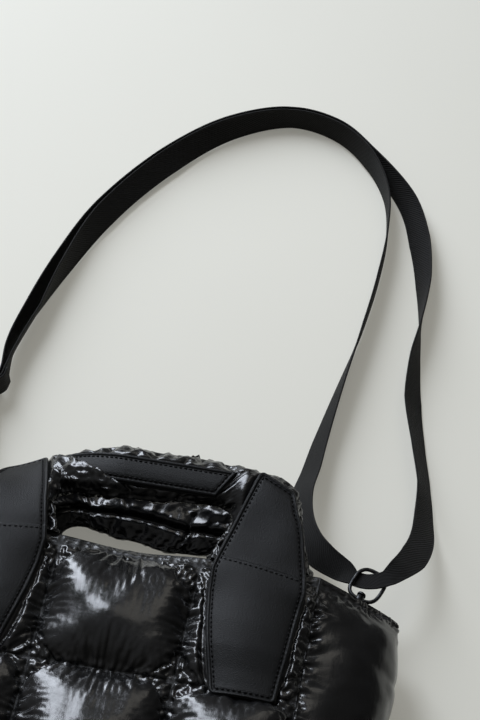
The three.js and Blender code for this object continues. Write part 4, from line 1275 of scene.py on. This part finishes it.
# A band round a bar: stadium of two arcs, carried across its width and back inside
def stadiumBand():
    arc = np.linspace(0, np.pi, 18)
    around = np.concatenate([arc + np.pi, arc])
    lift = np.repeat([0, loop["rise"]], len(arc))
    rings = []
    for share, across in loopRows:
        radius = loop["radius"] + loop["thick"] * share
        rings.append(vec(across * loop["width"], radius * np.cos(around), radius * np.sin(around) + lift))
    return closedTube(np.stack(rings))


def makeHardware(name):
    at, axes = eyeAxes(name)
    b, half = eye["boss"], eye["bossLength"] / 2
    bossTop = half - eye["half"][1]
    bossFoot = bossTop - eye["bossLength"]
    knobFoot, collarTop = bossTop + eye["gap"], bossFoot - eye["gap"]
    sleeve = turned([(b * 0.62, bossFoot), (b * 0.9, bossFoot), (b, bossFoot + 0.4),
                     (b * 0.94, bossFoot + half), (b, bossTop - 0.4), (b * 0.9, bossTop),
                     (b * 0.62, bossTop)])
    points, faces = joined([ovalWire(eye["half"], eye["wire"], eye["power"]), sleeve])
    hand(makePiece("swivel_eye_" + name, points @ axes + at, faces), "strap_eye_" + name, "gunmetal")
    k, c, shaft = hook["knob"], hook["collar"], hook["shaft"]
    top, foot = knobFoot + hook["inside"] - 1.2, collarTop - hook["outside"]
    stem = turned([(0.3, top), (k * 0.6, top - 0.15), (k * 0.92, top - 0.7), (k, top - 1.3),
                   (k, knobFoot + 0.3), (k * 0.9, knobFoot), (shaft, knobFoot), (shaft, collarTop),
                   (c * 0.9, collarTop), (c, collarTop - 0.4), (c, foot + 0.9),
                   (c * 0.8, foot + 0.2), (0.3, foot)])
    bailPoints, bailFaces = ovalWire(hook["half"], hook["wire"], 2)
    bailMiddle = foot - hook["half"][1] + 1
    points, faces = joined([stem, (bailPoints + np.array([0, bailMiddle, 0]), bailFaces)])
    hand(makePiece("swivel_hook_" + name, points @ axes + at, faces), "strap_hook_" + name, "gunmetal")
    points, faces = stadiumBand()
    uvs = np.stack([points[:, 1] * mm, points[:, 0] / loop["width"] + 0.5], axis=-1)
    points = (points + np.array([0, bailMiddle - hook["half"][1], 0])) @ axes + at
    hand(makePiece("web_loop_" + name, points, faces, uvs), "side_loop_" + name, "strap_webbing")


for name in bothSides:
    makeHardware(name)
print("eyes, hooks and loops")

# Strap rows: x, y, height of its lower edge, and lean from upright towards the loop's inside in degrees
strap = {"width": 20, "thick": 1.4, "step": 1.6, "offset": 1.35, "bunched": 0.58, "eyeGap": 0.3}
outerRun = [(172, 77, 38, 74), (180, 92, 28, 66), (184, 111, 16.5, 56), (183, 133, 7, 42),
            (180, 158, 2, 30), (172, 190, 0.5, 32), (163, 228, 0.5, 40), (160, 262, 0.5, 24),
            (160, 293, 0.5, 0), (157, 332, 0.5, -30), (149, 370, 0.5, -46), (135, 404, 0.5, -36)]
innerRun = [(136, 71, 34, -78), (119, 80, 33, -72), (109, 91, 29, -64), (101.5, 108, 22, -56),
            (98, 132.5, 13, -48), (100.5, 157, 4.6, -42), (103, 183, 0.5, -35), (110, 231, 0.5, -18),
            (118, 281, 0.5, -4), (123, 328, 0.5, 0), (124, 372, 0.5, 0), (118, 408, 0.5, -6)]
# where the strands run together: both leans, the inner one's first, and the outer one's spread
pairRun = np.array([
    (100, 441, 0.4, -16, -16, 0), (72, 463, 0.4, -12, -12, 0), (34, 470, 0.3, -6, -6, 0),
    (-12, 450, 0.6, -22, -22, 0.5), (-53, 410, 1, -44, -32, 1.5), (-91, 350, 1, -38, -30, 2.5),
    (-110, 297, 0.8, -8, -20, 3), (-121, 254, 1.2, 18, -8, 3.5), (-129, 217, 2.6, 16, 0, 2.2)], float)
# through the right eye, in its frame: along, out, lift and the turn of the strap's width in degrees
throughEye = np.array([(-12, 2.5, -3.2, 0), (-1.5, 3, -0.2, 24), (8.5, 9.5, 3.4, 52)], float)
leftRun = [(-135, 146, 6, 15), (-141, 120, 18, 48), (-147, 102, 32, 78)]
slider = {"at": (-135, 180), "along": (-0.1, -0.995), "rise": 3.5, "bar": 1.3, "side": 2.6, "slot": 6.5,
          "thick": 2.2, "opening": 21.4, "height": 27, "barInset": 0.5}
# the tail folds round the slider's middle bar, and the strap passes over it; distances along and outwards
sliderTail = [(-15, -7.2), (-12, -7.2), (-8, -6.9), (-5, -5.3), (-2.5, -3.3), (0, -2.4), (1.5, -2.1),
              (2.5, -1), (2.5, 1), (1.5, 2.1), (0, 2.4), (-1.5, 2.1), (-2.5, 1), (-3.5, -0.6),
              (-5.6, -3.1), (-8, -4.9), (-16, -5.2)]
sliderPass = [(-16, -2.5), (-8.6, -2.5), (-7, -1.8), (-5.2, 0.3), (-3.1, 3.3), (0, 4.7), (3.1, 3.3),
              (5.2, 0.3), (7, -1.8), (8.6, -2.5), (13, -2.5)]


# Stations of the strap: places on its middle line, the direction of its width, and its share of full width
def stationRows(at, width, share=1.0):
    return np.concatenate([at, np.broadcast_to(width, at.shape), np.full((len(at), 1), share)], axis=1)


# Stations from leaning rows, moved sideways by an offset
def leanStations(rows, offset=0):
    rows = np.array(rows, float)
    spots = np.concatenate([rows[:1], rows, rows[-1:]])[:, :2]
    heading = unit(np.pad(spots[2:] - spots[:-2], ((0, 0), (0, 1))))
    lean = np.radians(rows[:, 3:4])
    width = np.cross(skyward, heading) * np.sin(lean) + skyward * np.cos(lean)
    below = np.abs(offset) + strap["thick"] / 2
    rest = strap["width"] / 2 * np.cos(lean) + below * np.abs(np.sin(lean))
    at = np.concatenate([rows[:, :2], rows[:, 2:3] + rest], axis=1)
    return stationRows(at + np.cross(heading, width) * offset, width)


def sliderStations(rows):
    rows = np.array(rows, float)
    along = unit(np.array([*slider["along"], 0]))
    middle = np.array([*slider["at"], slider["rise"] + strap["width"] / 2])
    return stationRows(middle + rows[:, :1] * along + rows[:, 1:] * np.cross(along, skyward), skyward)


# The left end goes over the eye's far bar, round it and back below
def leftEndStations():
    at, axes = eyeAxes("left")
    turn = eye["wire"] + 2 * eye["gap"] + strap["thick"] / 2 + strap["eyeGap"]
    rows = np.array([(15, turn + 0.6), (4, turn + 0.1), (0.6, turn), (-1.8, 0.7 * turn), (-turn, 0),
                     (-1.8, -0.7 * turn), (0.6, -turn), (4, -turn - 0.1), (26, -turn + 0.6)])
    places = vec(0, eye["half"][1] + rows[:, 0], rows[:, 1]) @ axes + at
    return stationRows(places, axes[0], strap["bunched"])


def strapStations():
    at, axes = eyeAxes("right")
    turn = np.radians(throughEye[:, 3])
    width = vec(-np.sin(turn), np.cos(turn), 0) @ axes
    middle = stationRows(throughEye[:, :3] @ axes + at, width, strap["bunched"])
    outer, inner = leanStations(outerRun), leanStations(innerRun)[::-1]
    outer[0, 6] = inner[-1, 6] = (1 + strap["bunched"]) / 2
    innerPair = leanStations(pairRun[:, :4], -strap["offset"])[::-1]
    outerPair = leanStations(pairRun[:, [0, 1, 2, 4]], strap["offset"] + pairRun[:, 5:])
    return np.concatenate([
        sliderStations(sliderTail), innerPair, inner, middle, outer, outerPair,
        sliderStations(sliderPass), leanStations(leftRun), leftEndStations()])


# Centripetal Catmull-Rom through stations: tangents weighed by the square roots of the spans
def strapCurve(stations):
    at = stations[:, :3]
    padded = np.concatenate([2 * at[:1] - at[1:2], at, 2 * at[-1:] - at[-2:-1]])
    span = np.linalg.norm(np.diff(padded, axis=0), axis=-1)[:, None] ** 0.5
    step = np.diff(padded, axis=0) / span
    wide = (padded[2:] - padded[:-2]) / (span[1:] + span[:-1])
    tangent = step[:-1] - wide + step[1:]
    count = np.ceil(np.linalg.norm(np.diff(at, axis=0), axis=-1) / strap["step"])
    count = np.maximum(1, count).astype(int)
    k = np.repeat(np.arange(len(count)), count)
    f = np.concatenate([np.arange(n) / n for n in count])
    k, f = np.append(k, len(count) - 1), np.append(f, 1.0)[:, None]
    ahead = span[k + 1]
    centre = cubicBetween(at[k], at[k + 1], tangent[k] * ahead, tangent[k + 1] * ahead, f)
    rest = mix(stations[k, 3:], stations[k + 1, 3:], f)
    ahead = unit(np.gradient(centre, axis=0))
    width = rest[:, :3]
    width = unit(width - ahead * (width * ahead).sum(-1, keepdims=True))
    return centre, ahead, width, rest[:, 3:]


# Section of the webbing: thinner rounded selvedges and a level face, from one edge to the other and back
tapeAcross = np.array([-1, -0.985, -0.93, -0.86, -0.5, 0, 0.5, 0.86, 0.93, 0.985, 1])
tapeHeight = np.array([0.3, 0.75, 1, 0.9, 0.9, 0.9, 0.9, 0.9, 1, 0.75, 0.3])


def makeStrap():
    centre, ahead, width, scale = strapCurve(strapStations())
    across = np.concatenate([tapeAcross, tapeAcross[::-1]])
    height = np.concatenate([tapeHeight, -tapeHeight[::-1]]) * strap["thick"] / 2
    sideways = width[:, None] * (across * strap["width"] / 2 * scale)[..., None]
    rings = centre[:, None] + sideways + np.cross(ahead, width)[:, None] * height[:, None]
    run = runAlong(centre)
    uvs = np.stack(np.broadcast_arrays(run[:, None] * mm, (across + 1) / 2), axis=-1)
    hand(makePiece("twill_strap", *cappedTube(rings), uvs), "strap", "strap_webbing")
    print("strap length", round(run[-1]), "mm")


makeStrap()


# Slider: a frame of round-edged bars, standing on edge: five bars as rounded boxes on one plate
def roundedBar(low, high, radius=0.7, steps=5):
    low, high = np.array(low, float), np.array(high, float)
    centre, half = (low + high) / 2, (high - low) / 2 - radius
    u = np.linspace(-np.pi / 2, np.pi / 2, 2 * steps)[:, None]
    v = np.linspace(-np.pi, np.pi, 4 * steps, endpoint=False)[None] + np.pi / (4 * steps)
    ball = vec(np.cos(u) * np.cos(v), np.cos(u) * np.sin(v), np.sin(u) + 0 * v)
    away = np.sign(np.round(ball, 6) + 1e-9)
    return cappedTube(centre + away * half + ball * radius)


def makeSlider():
    along = unit(np.array([*slider["along"], 0]))
    axes = np.stack([along, skyward, np.cross(along, skyward)])
    bar, inset, height = slider["bar"], slider["barInset"], slider["height"]
    length = bar + slider["slot"] + slider["side"]
    t, opening = slider["thick"] / 2, slider["opening"] / 2
    middle = slider["rise"] + strap["width"] / 2
    bars = [roundedBar((-length, 0, -t), (length, middle - opening, t)),
            roundedBar((-length, middle + opening, -t), (length, height, t)),
            roundedBar((-bar, inset, -t), (bar, height - inset, t))]
    for side in (-1, 1):
        edges = sorted((side * length, side * (length - slider["side"])))
        bars.append(roundedBar((edges[0], 0, -t), (edges[1], height, t)))
    points, faces = joined(bars)
    piece = makePiece("strap_slide", points @ axes + np.array([*slider["at"], 0]), faces)
    hand(piece, "strap_slider", "gunmetal")


makeSlider()
print("strap and slider")
